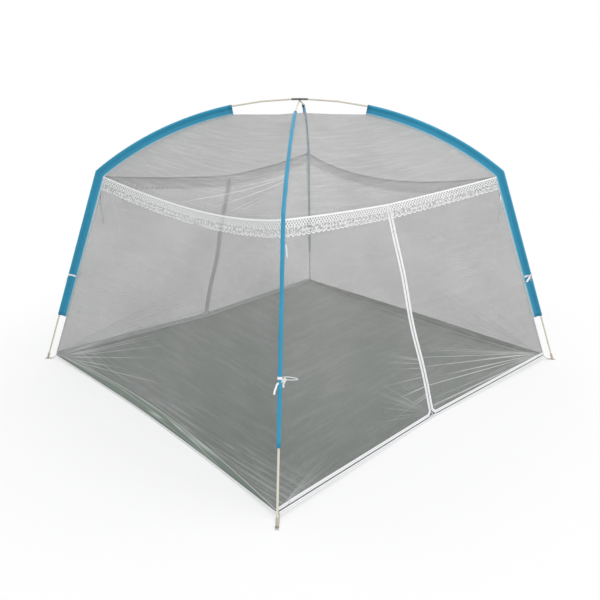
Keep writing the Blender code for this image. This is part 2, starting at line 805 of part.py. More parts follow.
def make_roof(walls, net):
    """The net roof: four panels from the lace seams up between the curved seams to the crown."""
    labels = ["bend_%d" % (BEND_STATIONS // 2), "bend_%d" % BEND_STATIONS, "roof_socket"]
    labels += ["roof_%d" % i for i in range(1, ROOF_STATIONS + 1)]
    columns = shares_between(0, 1, ROOF_COLUMNS)
    crown = Vector((0, 0, 0))
    for wall in walls.values():
        crown += wall.left.seam("sleeve_end") / len(walls)
    crown += UP * CROWN_PEAK_RISE
    panels = []
    for wall in walls.values():
        rows = []
        for k, label in enumerate(labels):
            rise_share = k / (len(labels) - 1)
            left = wall.left.seam(label, NET_THICKNESS + 2 * GAP)
            right = wall.right.seam(label, NET_THICKNESS + 2 * GAP)
            dip = wall.lace_dip.lerp(-UP * CROWN_SAG, rise_share)
            lift = UP * (2 * LACE_SEAM_GAP * (1 - rise_share))
            row = []
            for s in columns:
                bow = 4 * s * (1 - s)
                kink = 1 - abs(2 * s - 1)
                kept = (1 - wall.lace_bow_share) * (1 - rise_share)
                row.append(left.lerp(right, s) + dip * (bow + (kink - bow) * kept) + lift)
            rows.append(row)
        rows.append([crown] * len(columns))
        panels.append(rows)
    cloth("net_roof", panels, net, NET_THICKNESS)


def make_lace(wall, lace):
    """A scalloped lace valance that hangs outside the net from the lace seam."""
    edge = wall.edge_share()
    columns = shares_between(edge, 1 - edge, SCALLOP_COUNT * SCALLOP_POINTS)
    top, bottom = [], []
    for i, share in enumerate(columns):
        turn = math.pi * (i % SCALLOP_POINTS) / SCALLOP_POINTS
        depth = LACE_DEPTH + SCALLOP_DEPTH * math.sin(turn)
        top.append(wall.below_lace(share, 0, LACE_STANDOFF))
        bottom.append(wall.below_lace(share, depth, LACE_STANDOFF))
    hanging = cloth("lace", [[bottom, top]], lace, LACE_THICKNESS, 1.0)
    columns = shares_between(edge, 1 - edge, WALL_COLUMNS)
    rows = [[wall.below_lace(share, drop, LACE_STANDOFF + LACE_THICKNESS / 2) for share in columns]
            for drop in (BINDING_WIDTH, -BINDING_THICKNESS)]
    binding = cloth("binding", [rows], lace, BINDING_THICKNESS, 1.0)
    mesh = combine("lace_valance_" + wall.name, hanging, [(binding, "UNION")])
    new_object(mesh.name, mesh, lace)


def make_door(half, net):
    """One swinging flap: its net and the coil and tape sewn round its two zipped edges."""
    hinge = bpy.data.objects.new("hinge_" + half.name, None)
    bpy.context.scene.collection.objects.link(hinge)
    hinge.location = half.place(half.hinge_top, NET_THICKNESS / 2)
    way = half.place(half.park_foot) - half.place(half.hinge_top)
    hinge.rotation_mode = "QUATERNION"
    hinge.rotation_quaternion = way.to_track_quat("Z", "Y")
    bpy.context.view_layer.update()

    edges = [half.hinge.shifted(NET_HINGE_GAP)]
    edges += [line.shifted(NET_EDGE) for line in (half.zip, half.chamfer, half.bottom)]
    spots = [first.meet(second) for first, second in zip(edges, edges[1:] + edges[:1])]
    panel = half.slab("panel", spots, NET_THICKNESS / 2, net)
    path = [half.hinge, half.zip, half.chamfer, half.bottom, half.hinge]
    strip = half.strip("strip", path, {half.hinge: TAPE_HINGE_GAP}, net)
    mesh = combine("door_" + half.name, panel, [(strip, "UNION")])
    door = new_object(mesh.name, mesh, net)
    door.parent = hinge
    door.matrix_parent_inverse = hinge.matrix_world.inverted()


def side_panel(half, net):
    """The fixed net above a flap, from its hinge line to the lace seam and the corner seam."""
    wall = half.wall
    hinge = half.hinge.shifted(-NET_HINGE_GAP)
    bottom = half.bottom.shifted(NET_EDGE)
    first = hinge.meet(half.zip.shifted(NET_EDGE))
    kink = hinge.meet(bottom)
    last = bottom.meet(half.seam.shifted(SEAM_STEP))
    width = half.corner_foot.x
    columns = []
    for share in shares_between(0, 1, SIDE_COLUMNS):
        columns.append(((NET_EDGE + (kink.x - NET_EDGE) * share) / width, first.lerp(kink, share)))
    columns.append((1 - 2 * wall.edge_share(), last))
    rows = []
    for rise in shares_between(0, 1, WALL_ROWS):
        row = []
        for share, foot in columns:
            lace = wall.lace(0.5 + half.turn * share / 2)
            low = half.place(foot)
            top = lace + (low - lace).normalized() * LACE_SEAM_GAP
            row.append(low.lerp(top, rise))
        rows.append(row)
    return cloth("side", [rows], net, NET_THICKNESS)


def make_door_wall(wall, net):
    """The fixed net round a pair of flaps, with the fixed ends of the zips sewn to it."""
    pieces = []
    for half in wall.halves:
        pieces.append(side_panel(half, net))
        beyond = {half.hinge: -TAPE_HINGE_GAP, half.seam: 2 * SEAM_STEP}
        pieces.append(half.strip("park", [half.hinge, half.bottom, half.seam], beyond, net))
        low = half.zip_rings([half.hinge, half.zip], beyond)[0]
        lace = wall.lace(0.5 + half.turn * NET_EDGE / half.corner_foot.x / 2)
        across_top = lace - half.lace_point
        off_zip = half.ex * half.zip.normal.x + half.ey * half.zip.normal.y
        across_top /= across_top.dot(off_zip)
        top = half.lace_point - half.zip_way * ZIP_TOP_GAP
        high = [top + across_top * distance + half.normal * height for distance, height in zip_profile()]
        bm = bmesh.new()
        skin(bm, [low, high])
        pieces.append(finish("header", bm, net))
    half = wall.halves[0]
    stop = half.lace_point - half.zip_way * ZIP_STOP_DROP
    bm = bmesh.new()
    rings = []
    for end in (-ZIP_STOP_LENGTH / 2, ZIP_STOP_LENGTH / 2):
        rings.append([stop + half.zip_way * end + wall.along * a + half.normal * b
                      for a, b in ((-COIL_EDGE, -TAPE_HALF_THICKNESS), (COIL_EDGE, -TAPE_HALF_THICKNESS),
                                   (COIL_EDGE, TAPE_HALF_THICKNESS), (-COIL_EDGE, TAPE_HALF_THICKNESS))])
    skin(bm, rings)
    pieces.append(finish("stop", bm, net))
    mesh = combine("net_wall_" + wall.name, pieces[0], [(piece, "UNION") for piece in pieces[1:]])
    new_object(mesh.name, mesh, net)


def make_floor_zip_tape(wall, tape):
    """The lower half of the bottom zip, with the fixed start of the upright zip on its middle."""
    left, right = wall.halves
    drop = (ZIP_FOOT_HEIGHT - SHEET_THICKNESS - 2 * GAP) / left.ey.z
    profile = zip_profile(drop)
    ends = []
    for half in (left, right):
        reach = half.corner_foot.x - 2 * SEAM_STEP
        ends.append([half.place(Vector((reach, -distance, 0)), height) for distance, height in profile])
    middle = []
    for distance, height in profile:
        point = left.place(Vector((0, -distance, 0)), height)
        off = (point - left.junction).dot(wall.along)
        middle.append(point - left.ex * (off / left.ex.dot(wall.along)))
    bm = bmesh.new()
    skin(bm, [ends[0], middle, ends[1]])
    lower = finish("lower", bm, tape)
    pieces = []
    for half in (left, right):
        outer = [line.shifted(COIL_GAP) for line in (half.zip, half.bottom)]
        inner = [line.shifted(COIL_EDGE) for line in (half.zip, half.bottom)]
        bead = [half.chamfer.meet(outer[0]), outer[0].meet(outer[1]), outer[1].meet(half.chamfer),
                half.chamfer.meet(inner[1]), inner[1].meet(inner[0]), inner[0].meet(half.chamfer)]
        pieces.append(half.slab("bead", bead, COIL_HALF_THICKNESS, tape))
        sunk = [line.shifted(COIL_EDGE - COIL_WIDTH / 2) for line in (half.zip, half.bottom)]
        edge = half.chamfer.shifted(-COIL_WIDTH / 2)
        corner = [edge.meet(sunk[0]), sunk[0].meet(sunk[1]), sunk[1].meet(edge)]
        pieces.append(half.slab("gusset", corner, TAPE_HALF_THICKNESS, tape))
    reach = COIL_GAP + COIL_WIDTH / 2
    bm = bmesh.new()
    rings = []
    for height in (-COIL_HALF_THICKNESS / 2, COIL_HALF_THICKNESS / 2):
        rings.append([left.junction + wall.along * a + left.ey * b + wall.outward * height
                      for a, b in ((-reach, -reach), (reach, -reach), (reach, reach), (-reach, reach))])
    skin(bm, rings)
    pieces.append(finish("tack", bm, tape))
    mesh = combine("floor_zip_tape_" + wall.name, lower, [(piece, "UNION") for piece in pieces])
    new_object(mesh.name, mesh, tape)


def make_groundsheet(walls, floor_cloth):
    """The groundsheet: flat but for its lifted corners, and turned up along the plain walls."""
    shares = shares_between(0, 1, FLOOR_CELLS)
    left_wall, right_wall = walls["left"], walls["right"]
    edge = 2 * left_wall.edge_share()
    fold = left_wall.height_share(FLOOR_SIDE_HEIGHT) * FLOOR_FOLD_SHARE
    rows = []
    for v in shares:
        held = min(max(v, edge), 1 - edge)
        rises = (left_wall.side_share(held), fold)
        row = [left_wall.surface(1 - held, rise) for rise in rises]
        for u in shares:
            a, b = abs(2 * u - 1), abs(2 * v - 1)
            x = left_wall.floor(1 - v).x * (1 - u) + right_wall.floor(v).x * u
            y = walls["front"].floor(u).y * (1 - v) + walls["back"].floor(1 - u).y * v
            lift_share = max(a * b ** LIFT_REACH_POWER, b ** LIFT_EDGE_POWER * a ** LIFT_REACH_POWER)
            row.append(Vector((x, y, CORNER_LIFT * lift_share)))
        row += [right_wall.surface(held, rise) for rise in reversed(rises)]
        rows.append(row)
    cloth("groundsheet", [rows], floor_cloth, SHEET_THICKNESS, 1.0)


def box(bm, low, high):
    bmesh.ops.create_cube(bm, size=1, matrix=Matrix.Translation((low + high) / 2)
                          @ Matrix.Diagonal((high - low).to_4d()))


def make_slider_mesh(mat):
    """A zip slider: two plates joined by a post between the coils, and a crown for the pull."""
    half_length = SLIDER_LENGTH / 2
    inner = COIL_HALF_THICKNESS + SLIDER_CLEARANCE
    outer = inner + SLIDER_PLATE
    front, rear = SLIDER_FRONT_WIDTH / 2, SLIDER_REAR_WIDTH / 2
    outline = [(-front, -half_length / 2), (-front / 2, -half_length), (front / 2, -half_length),
               (front, -half_length / 2), (rear, half_length), (-rear, half_length)]
    pieces = []
    for low, high in ((inner, outer), (-outer, -inner)):
        bm = bmesh.new()
        skin(bm, [[Vector((x, y, z)) for x, y in outline] for z in (low, high)])
        pieces.append(finish("slider_plate", bm, mat))
    bm = bmesh.new()
    sunk = SLIDER_PLATE / 2
    box(bm, Vector((-POST_WIDTH / 2, -half_length, -inner - sunk)),
        Vector((POST_WIDTH / 2, POST_LENGTH - half_length, inner + sunk)))
    pieces.append(finish("slider_post", bm, mat))
    bm = bmesh.new()
    reach, top = CROWN_LENGTH / 2, outer + CROWN_OPENING + CROWN_BAR
    arch = [(-reach, outer - sunk), (-reach, top), (reach, top), (reach, outer - sunk),
            (reach - CROWN_BAR, outer - sunk), (reach - CROWN_BAR, top - CROWN_BAR),
            (CROWN_BAR - reach, top - CROWN_BAR), (CROWN_BAR - reach, outer - sunk)]
    skin(bm, [[Vector((x, y, z)) for y, z in arch] for x in (-CROWN_WIDTH / 2, CROWN_WIDTH / 2)])
    pieces.append(finish("slider_crown", bm, mat))
    return combine("slider", pieces[0], [(piece, "UNION") for piece in pieces[1:]])


def make_pull_mesh(mat):
    """A flat tapering pull with a window for the crown; its axis is the end bar."""
    bar, window = PULL_BAR / 2, PULL_BAR / 2 + PULL_WINDOW_LENGTH
    wide, slot, tip = PULL_WIDTH / 2, PULL_WINDOW_WIDTH / 2, PULL_TIP_WIDTH / 2
    outer = [(-wide, -bar), (wide, -bar), (wide, bar), (wide, window), (tip, PULL_REACH),
             (-tip, PULL_REACH), (-wide, window), (-wide, bar)]
    inner = [(-slot, bar), (slot, bar), (slot, bar), (slot, window), (slot, window),
             (-slot, window), (-slot, window), (-slot, bar)]
    bm = bmesh.new()
    thick = PULL_THICKNESS / 2
    layers = []
    for z in (-thick, thick):
        layers.append(([Vector((x, y, z)) for x, y in outer], [Vector((x, y, z)) for x, y in inner]))
    (low_out, low_in), (high_out, high_in) = layers
    for first, second in ((low_out, high_out), (high_in, low_in), (high_out, high_in), (low_in, low_out)):
        strip_faces(bm, first, second)
    obj = finish("pull", bm, mat)
    mesh = obj.data
    bpy.data.objects.remove(obj, do_unlink=True)
    return mesh


def strip_faces(bm, first, second):
    """Quads between two equal loops of points; repeated points make triangles."""
    count = len(first)
    for i in range(count):
        j = (i + 1) % count
        corners = []
        for point in (first[i], first[j], second[j], second[i]):
            if point not in corners:
                corners.append(point)
        if len(corners) > 2:
            bm.faces.new([bm.verts.new(point) for point in corners])


def slider_places(walls):
    """Name, centre, travel, across and outward directions, and pull side of each slider."""
    places = []
    for name in DOOR_WALLS:
        wall = walls[name]
        left, right = wall.halves
        outward = wall.along.cross(left.zip_way).normalized()
        centre = left.junction + left.zip_way * TOP_SLIDER_REST
        places.append((name + "_top", centre, left.zip_way, outward, -1))
        for half in (left, right):
            centre = half.junction + half.ex * SIDE_SLIDER_REST
            places.append((half.name, centre, half.ex, half.normal, 1))
    return places


def make_sliders(walls, metal):
    slider_mesh = make_slider_mesh(metal)
    pull_mesh = make_pull_mesh(metal)
    axis_height = COIL_HALF_THICKNESS + SLIDER_CLEARANCE + SLIDER_PLATE + PULL_LIFT
    for name, centre, travel, outward, pull_side in slider_places(walls):
        slider = new_object("slider_" + name, slider_mesh, metal)
        turn = Matrix((travel.cross(outward), travel, outward)).transposed()
        slider.matrix_world = Matrix.Translation(centre) @ turn.to_4x4()
        pull = new_object("pull_" + name, pull_mesh, metal)
        pull.parent = slider
        pull.location = Vector((0, 0, axis_height))
        pull.rotation_euler.z = 0 if pull_side > 0 else math.pi


def main():
    clear_scene()
    fibreglass = material("pole_fibreglass", (0.62, 0.57, 0.42), 0.35)
    steel = material("ferrule_steel", (0.36, 0.37, 0.38), 0.30, metallic=1.0)
    zip_metal = material("slider_metal", (0.45, 0.45, 0.46), 0.35, metallic=1.0)
    rubber = material("cord_rubber", (0.10, 0.10, 0.11), 0.80)
    cap_plastic = material("cap_plastic", (0.05, 0.05, 0.05), 0.50)
    sleeve_blue = material("sleeve_blue", (0.05, 0.36, 0.62), 0.75)
    net = material("net_white", (0.86, 0.87, 0.88), 0.90, alpha=0.35)
    lace = material("lace_white", (0.93, 0.93, 0.93), 0.85, alpha=0.75)
    tape = material("tape_white", (0.90, 0.90, 0.89), 0.80)
    floor_cloth = material("floor_grey", (0.30, 0.33, 0.30), 0.85)

    corners = make_corners()
    walls = make_walls(corners)
    make_rods(corners, fibreglass)
    make_elbow_ferrules(corners, steel)
    make_crossing_ferrules(corners, steel)
    make_shock_cords(corners, rubber)
    make_foot_caps(corners, cap_plastic)
    make_sleeves(corners, sleeve_blue)
    make_corner_tabs(corners, tape)
    make_sleeve_ties(corners, tape)
    make_groundsheet(walls, floor_cloth)
    make_roof(walls, net)
    for wall in walls.values():
        make_lace(wall, lace)
        if wall.door:
            make_door_wall(wall, net)
            make_floor_zip_tape(wall, tape)
            for half in wall.halves:
                make_door(half, net)
        else:
            make_plain_wall(wall, net)
    make_sliders(walls, zip_metal)


if __name__ == "__main__":
    main()
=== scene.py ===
"""Looks of a two-pole mosquito net tent: cloth, net, lace, zips and tapes over the CAD frame.

Lengths are in metres in the CAD part's frame, +Z up. The cloth hangs from lines that are worked
out from the same driving sizes as the CAD part's, so each piece sits where its solid is.
"""
import json
import math

import bpy
import numpy as np
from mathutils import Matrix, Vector, noise


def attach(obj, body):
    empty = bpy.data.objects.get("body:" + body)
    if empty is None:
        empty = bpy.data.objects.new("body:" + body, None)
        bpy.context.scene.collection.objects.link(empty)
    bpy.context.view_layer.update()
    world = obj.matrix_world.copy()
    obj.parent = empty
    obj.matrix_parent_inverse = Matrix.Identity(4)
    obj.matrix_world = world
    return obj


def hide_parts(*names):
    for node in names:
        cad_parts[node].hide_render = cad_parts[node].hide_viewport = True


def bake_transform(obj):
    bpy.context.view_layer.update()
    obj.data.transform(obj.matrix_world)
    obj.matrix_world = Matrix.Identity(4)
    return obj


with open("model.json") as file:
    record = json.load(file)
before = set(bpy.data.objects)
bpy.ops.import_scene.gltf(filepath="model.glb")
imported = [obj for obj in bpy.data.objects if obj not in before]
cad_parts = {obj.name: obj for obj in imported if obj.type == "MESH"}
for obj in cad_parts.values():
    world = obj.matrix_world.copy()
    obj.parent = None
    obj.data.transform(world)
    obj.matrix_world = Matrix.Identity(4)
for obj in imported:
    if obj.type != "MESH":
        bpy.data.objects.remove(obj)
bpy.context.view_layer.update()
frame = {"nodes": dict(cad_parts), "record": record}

# Driving sizes, as in the CAD part
FLOOR_LENGTH = 2.0
FLOOR_WIDTH = 1.9
CROWN_HEIGHT = 1.405
CROWN_STEP = 0.0108
SHOULDER_HEIGHT = 1.050
SHOULDER_REACH = 1.037
NET_CORNER_RISE = 0.022
BEND_REACH = 0.024
SOCKET_LENGTH = 0.045
WEB_WIDTH = 0.039
SLEEVE_HEM_HEIGHT = 0.267
SLEEVE_END_REACH = 0.336
SLEEVE_THROAT = 0.015
DOOR_LACE_SAG = 0.058
DOOR_LACE_PULL = 0.108
DOOR_LACE_BOW_SHARE = 0.5
WALL_LACE_SAG = 0.080
WALL_LACE_PULL = 0.085
CROWN_SAG = 0.006
CROWN_PEAK_RISE = 0.004
FLOOR_SAG = 0.038
FLOOR_SIDE_HEIGHT = 0.062
SIDE_CORNER_SHARE = 0.25
CORNER_LIFT = 0.014
ZIP_PULL_IN = 0.045
ZIP_FOOT_HEIGHT = 0.016
ZIP_CORNER_HEIGHT = 0.030
ZIP_HEADER_LENGTH = 0.120
ZIP_PARK_LENGTH = 0.050
COIL_GAP = 0.0008
COIL_EDGE = 0.0030
TAPE_EDGE = 0.0160
TAPE_HINGE_GAP = 0.0012
JUNCTION_REACH = 0.022
LIFT_REACH_POWER = 12
LIFT_EDGE_POWER = 4

# The sleeve's skin, just outside the CAD part's
SLEEVE_RADIUS = 0.0072
SLEEVE_CLOTH = 0.0006
WEB_THICKNESS = 0.0014

# Trim, laps and allowances that are made here
TIE_HEIGHT = 0.500
TIE_WIDTH = 0.0068
TIE_THICKNESS = 0.0009
TIE_LOOP_RADIUS = 0.0092
TIE_LOOP_ENDS = ((0.032, 0.0016), (0.016, 0.0016))
TIE_TAILS = ((0.019, 0.050, -0.030, 0.012), (0.004, 0.034, 0.0, 0.0))
TIE_BACK_DROP = 0.105
TIE_BACK_LENGTH = 0.165
TAPE_THICKNESS = 0.0008
TOOTH_PITCH = 0.0026
TOOTH_SIZE = (0.0014, 0.0021, 0.0020)
TOOTH_OUTLINE = ((-1, -0.5), (-0.5, -1), (0.5, -1), (1, -0.5),
                 (1, 0.5), (0.5, 1), (-0.5, 1), (-1, 0.5))
TOOTH_LINE = (COIL_GAP + COIL_EDGE) / 2
TAPE_INNER_EDGE = COIL_EDGE - COIL_GAP / 2
TAPE_STEP = 0.012
DOOR_NET_LAP = 0.006
DOOR_BLEND = (0.012, 0.020)
ROOF_NET_LAP = 0.001
ROOF_ROW_STEP = 0.021
ROOF_FAN_OUT = 0.30
ROOF_FAN_UP = 0.12
ZIP_FAN_OUT = 0.35
ZIP_FAN_UP = 0.12
ZIP_WAVE = 0.0080
ZIP_WAVE_REACH = 0.15
BINDING_WIDTH = 0.008
BINDING_THICKNESS = 0.0022
# Width of the painted highlight along the free edge of each sleeve's web
PAINTED_HIGHLIGHT_WIDTH = 0.0070
FLOOR_LIFT = 0.0012
FLOOR_TAPES = (("floor_joint_", 0.005), ("floor_edge_", 0.011))
FLOOR_EDGE_HEIGHT = 0.0065
FLOOR_TAPE_THICKNESS = 0.0010
SEAM_TAPE_WIDTH = 0.007
SEAM_TAPE_THICKNESS = 0.0014
LACE_DEPTH = 0.065
LACE_CELL = 0.0180
NET_PITCH = 0.0024
STITCH_LENGTH = 0.0042
LACE_STANDOFF = 0.0035
LACE_RUFFLE = 0.0025
SCALLOP_DEPTH = 0.008
SCALLOP_COUNT = 44
SCALLOP_COLUMNS = 8
TAB_WIDTH = 0.015
TAB_THICKNESS = 0.0016
TAB_HEIGHT = 0.0017
EYELET_SIDES = 32
EYELET_PROFILE = ((0.0034, -0.0010), (0.0034, 0.0010), (0.0040, 0.0015), (0.0056, 0.0015),
                  (0.0066, 0.0009), (0.0066, -0.0009), (0.0056, -0.0015), (0.0040, -0.0015))

# Folds and creases. A row of a fan of creases has the number of its UV layer, its lines to a
# radian, its longest line in metres, its strength, and its lowest and highest angle in degrees.
# A row of the sleeve's folds has its folds to a metre, its height and its step from the seed.
FOLD_SEED = 4.7
FAN_STEP = 5.0
WALL_RIPPLE = 0.009
DOOR_RIPPLE = 0.006
ROOF_RIPPLE = 0.006
FLOOR_SWELL = 0.006
SLEEVE_FOLDS = ((34.0, 0.0011, 0), (9.0, 0.0012, 5))
WALL_FANS = ((0, 22.0, 1.2, 0.7, 1, 30), (1, 12.0, 0.5, 0.2, 3, 35), (2, 8.0, 0.3, 0.25, -70, -20))
DOOR_FANS = ((0, 30.0, 1.6, 1.0, 1, 17), (1, 16.0, 0.5, 0.45, 10, 60), (2, 8.0, 0.3, 0.25, -70, -20),
             (3, 24.0, 0.75, 0.8, -8, 24))
ROOF_FANS = ((0, 16.0, 0.8, 0.3, -40, -10), (1, 20.0, 1.1, 0.9, -38, -8))
FLOOR_FANS = tuple((layer, 9.0, 1.3, 0.9, 48, 88) for layer in range(4))
FAN_SOFTNESS = 3
WEAK_PULL = 0.3

# Studio: the floor's rings (smallest and largest radius, and number), each lamp's name, place,
# size, power and colour, and the camera
STAGE_SIDES = 96
STAGE_RINGS = (0.05, 9.0, 24)
LAMPS = (
    ("key", (1.6, -2.6, 4.4), 3.2, 85.0, (1.0, 0.99, 0.97)),
    ("fill", (-3.0, -2.8, 2.6), 3.0, 40.0, (0.985, 0.99, 1.0)),
    ("back", (-0.5, 3.8, 4.2), 3.4, 35.0, (1.0, 1.0, 1.0)),
)
LAMP_TARGET = (0, 0, 0.5)
CAMERA_PLACE = (-2.2621, -2.4068, 1.5333)
CAMERA_YAW = 0.755
CAMERA_PITCH = 0.343
CAMERA_LENS = 38.41

HALF_LENGTH = FLOOR_LENGTH / 2
HALF_WIDTH = FLOOR_WIDTH / 2
SEAM_RUN = math.hypot(HALF_LENGTH, HALF_WIDTH) - SHOULDER_REACH
SEAM_DROP = SHOULDER_HEIGHT - NET_CORNER_RISE
LEG_LEAN = math.atan2(SEAM_RUN, SEAM_DROP) + math.asin(WEB_WIDTH / math.hypot(SEAM_RUN, SEAM_DROP))
UP = np.array([0.0, 0.0, 1.0])
CORNERS = {
    "front_left": (-1, -1, CROWN_HEIGHT - CROWN_STEP),
    "front_right": (1, -1, CROWN_HEIGHT),
    "back_left": (-1, 1, CROWN_HEIGHT),
    "back_right": (1, 1, CROWN_HEIGHT - CROWN_STEP),
}
WALLS = {
    "front": ("front_left", "front_right"),
    "right": ("front_right", "back_right"),
    "back": ("back_right", "back_left"),
    "left": ("back_left", "front_left"),
}
DOOR_WALLS = ("front", "back")


def unit(vector):
    return vector / np.linalg.norm(vector, axis=-1, keepdims=True)


def mix(first, second, share):
    return first + (second - first) * share


def column(values):
    return np.atleast_1d(np.asarray(values, float))[:, None]


def fade(distance, reach):
    """0 at an edge, rising smoothly to 1 at a reach inside it."""
    share = np.clip(distance / reach, 0, 1)
    return share * share * (3 - 2 * share)


class Corner:
    """One corner of the tent: the axis of its pole and the seam that hangs from its sleeve."""

    def __init__(self, name):
        sign_x, sign_y, crown = CORNERS[name]
        self.name = name
        self.out = unit(np.array([sign_x * HALF_LENGTH, sign_y * HALF_WIDTH, 0.0]))
        self.side = np.cross(self.out, UP)
        self.door_side = -sign_x * sign_y
        rise = crown - SHOULDER_HEIGHT
        self.radius = (SHOULDER_REACH ** 2 + rise ** 2) / (2 * rise)
        self.centre = crown - self.radius
        self.angle = math.asin(SHOULDER_REACH / self.radius)
        self.leg = UP * math.cos(LEG_LEAN) - self.out * math.sin(LEG_LEAN)
        self.elbow = self.out * SHOULDER_REACH + UP * SHOULDER_HEIGHT
        self.sleeve_start = (SLEEVE_HEM_HEIGHT - SHOULDER_HEIGHT) / math.cos(LEG_LEAN)
        self.sleeve_end = self.radius * (self.angle - math.asin(SLEEVE_END_REACH / self.radius))
        self.foot_reach = SHOULDER_REACH + SHOULDER_HEIGHT * math.tan(LEG_LEAN)

    def leg_point(self, distance):
        return self.elbow + self.leg * distance

    def roof_point(self, distance):
        turn = self.angle - distance / self.radius
        height = self.centre + self.radius * np.cos(turn)
        return self.out * self.radius * np.sin(turn) + UP * height

    def axis(self, distance):
        """Points of the pole at distances from the elbow, down the leg below 0."""
        distance = column(distance)
        share = np.clip((distance / BEND_REACH + 1) / 2, 0, 1)
        low = mix(self.leg_point(-BEND_REACH), self.elbow, share)
        high = mix(self.elbow, self.roof_point(BEND_REACH), share)
        bend = mix(low, high, share)
        straight = np.where(distance < 0, self.leg_point(distance), self.roof_point(distance))
        return np.where(abs(distance) < BEND_REACH, bend, straight)

    def inward(self, distance):
        distance = np.atleast_1d(np.asarray(distance, float))
        step = BEND_REACH / 8
        way = self.axis(distance + step) - self.axis(distance - step)
        return unit(np.cross(self.side, way))

    def seam(self, distance, beyond=0.0):
        return self.axis(distance) + self.inward(distance) * (WEB_WIDTH + beyond)

    def seam_at_height(self, height):
        low = self.seam(-SHOULDER_HEIGHT)[0]
        return low + self.leg * ((height - low[2]) / self.leg[2])


class Wall:
    """One wall of the tent: the lace seam at shoulder height and the edge on the floor."""

    def __init__(self, name, left, right):
        self.name = name
        self.left = left
        self.right = right
        self.door = name in DOOR_WALLS
        self.along = unit(right.out - left.out)
        self.outward = np.cross(self.along, UP)
        pull, sag = (DOOR_LACE_PULL, DOOR_LACE_SAG) if self.door else (WALL_LACE_PULL, WALL_LACE_SAG)
        self.lace_dip = -self.outward * pull - UP * sag
        self.lace_bow_share = DOOR_LACE_BOW_SHARE if self.door else 1.0
        self.width = float(np.linalg.norm(right.seam(0)[0] - left.seam(0)[0]))
        self.halves = [DoorHalf(self, left), DoorHalf(self, right)] if self.door else []

    def dip_share(self, share, bow_share):
        bow = 4 * share * (1 - share)
        kink = 1 - abs(2 * share - 1)
        return kink + (bow - kink) * bow_share

    def lace(self, share):
        share = column(share)
        edge = mix(self.left.seam(0), self.right.seam(0), share)
        return edge + self.lace_dip * self.dip_share(share, self.lace_bow_share)

    def floor(self, share):
        share = column(share)
        left, right = (corner.seam_at_height(CORNER_LIFT) for corner in (self.left, self.right))
        edge = mix(left, right, share)
        off_middle = abs(2 * share - 1)
        if self.door:
            pull = ZIP_PULL_IN * (1 - off_middle)
            lift = CORNER_LIFT * off_middle
        else:
            pull = FLOOR_SAG * (1 - off_middle ** 2)
            lift = CORNER_LIFT * off_middle ** LIFT_EDGE_POWER
        point = edge - self.outward * pull
        return np.concatenate([point[:, :2], lift], axis=1)

    def foot(self, share):
        """Where the net that hangs from the lace seam ends: the floor, or a door's hinge."""
        points = self.floor(share)
        for half in self.halves:
            mine = (np.asarray(share) < 0.5) == (half.turn < 0)
            points[mine] = half.place(half.upper_edge(abs(2 * share[mine] - 1)))
        return points

    def side_share(self, share):
        """How far up a plain wall the groundsheet is turned: least at the corners."""
        grown = SIDE_CORNER_SHARE + (1 - SIDE_CORNER_SHARE) * (1 - abs(2 * np.asarray(share) - 1) ** 2)
        return FLOOR_SIDE_HEIGHT / self.height() * grown

    def surface(self, share, rise_share):
        return mix(self.floor(share), self.lace(share), column(rise_share))

    def height(self):
        return float(np.linalg.norm(self.lace(0.5) - self.floor(0.5)))


class Line:
    """A straight line in the plane of half a door wall, with the side that offsets go to."""

    def __init__(self, start, end, toward):
        self.start = start
        self.way = unit(end - start)
        self.normal = np.array([-self.way[1], self.way[0]])
        if (toward - start) @ self.normal < 0:
            self.normal = -self.normal

    def meet(self, distance, other, other_distance):
        """Where this line, offset by a distance, crosses another offset by its own."""
        start = self.start + self.normal * distance
        gap = (other.start + other.normal * other_distance - start) @ other.normal
        return start + self.way * (gap / (self.way @ other.normal))


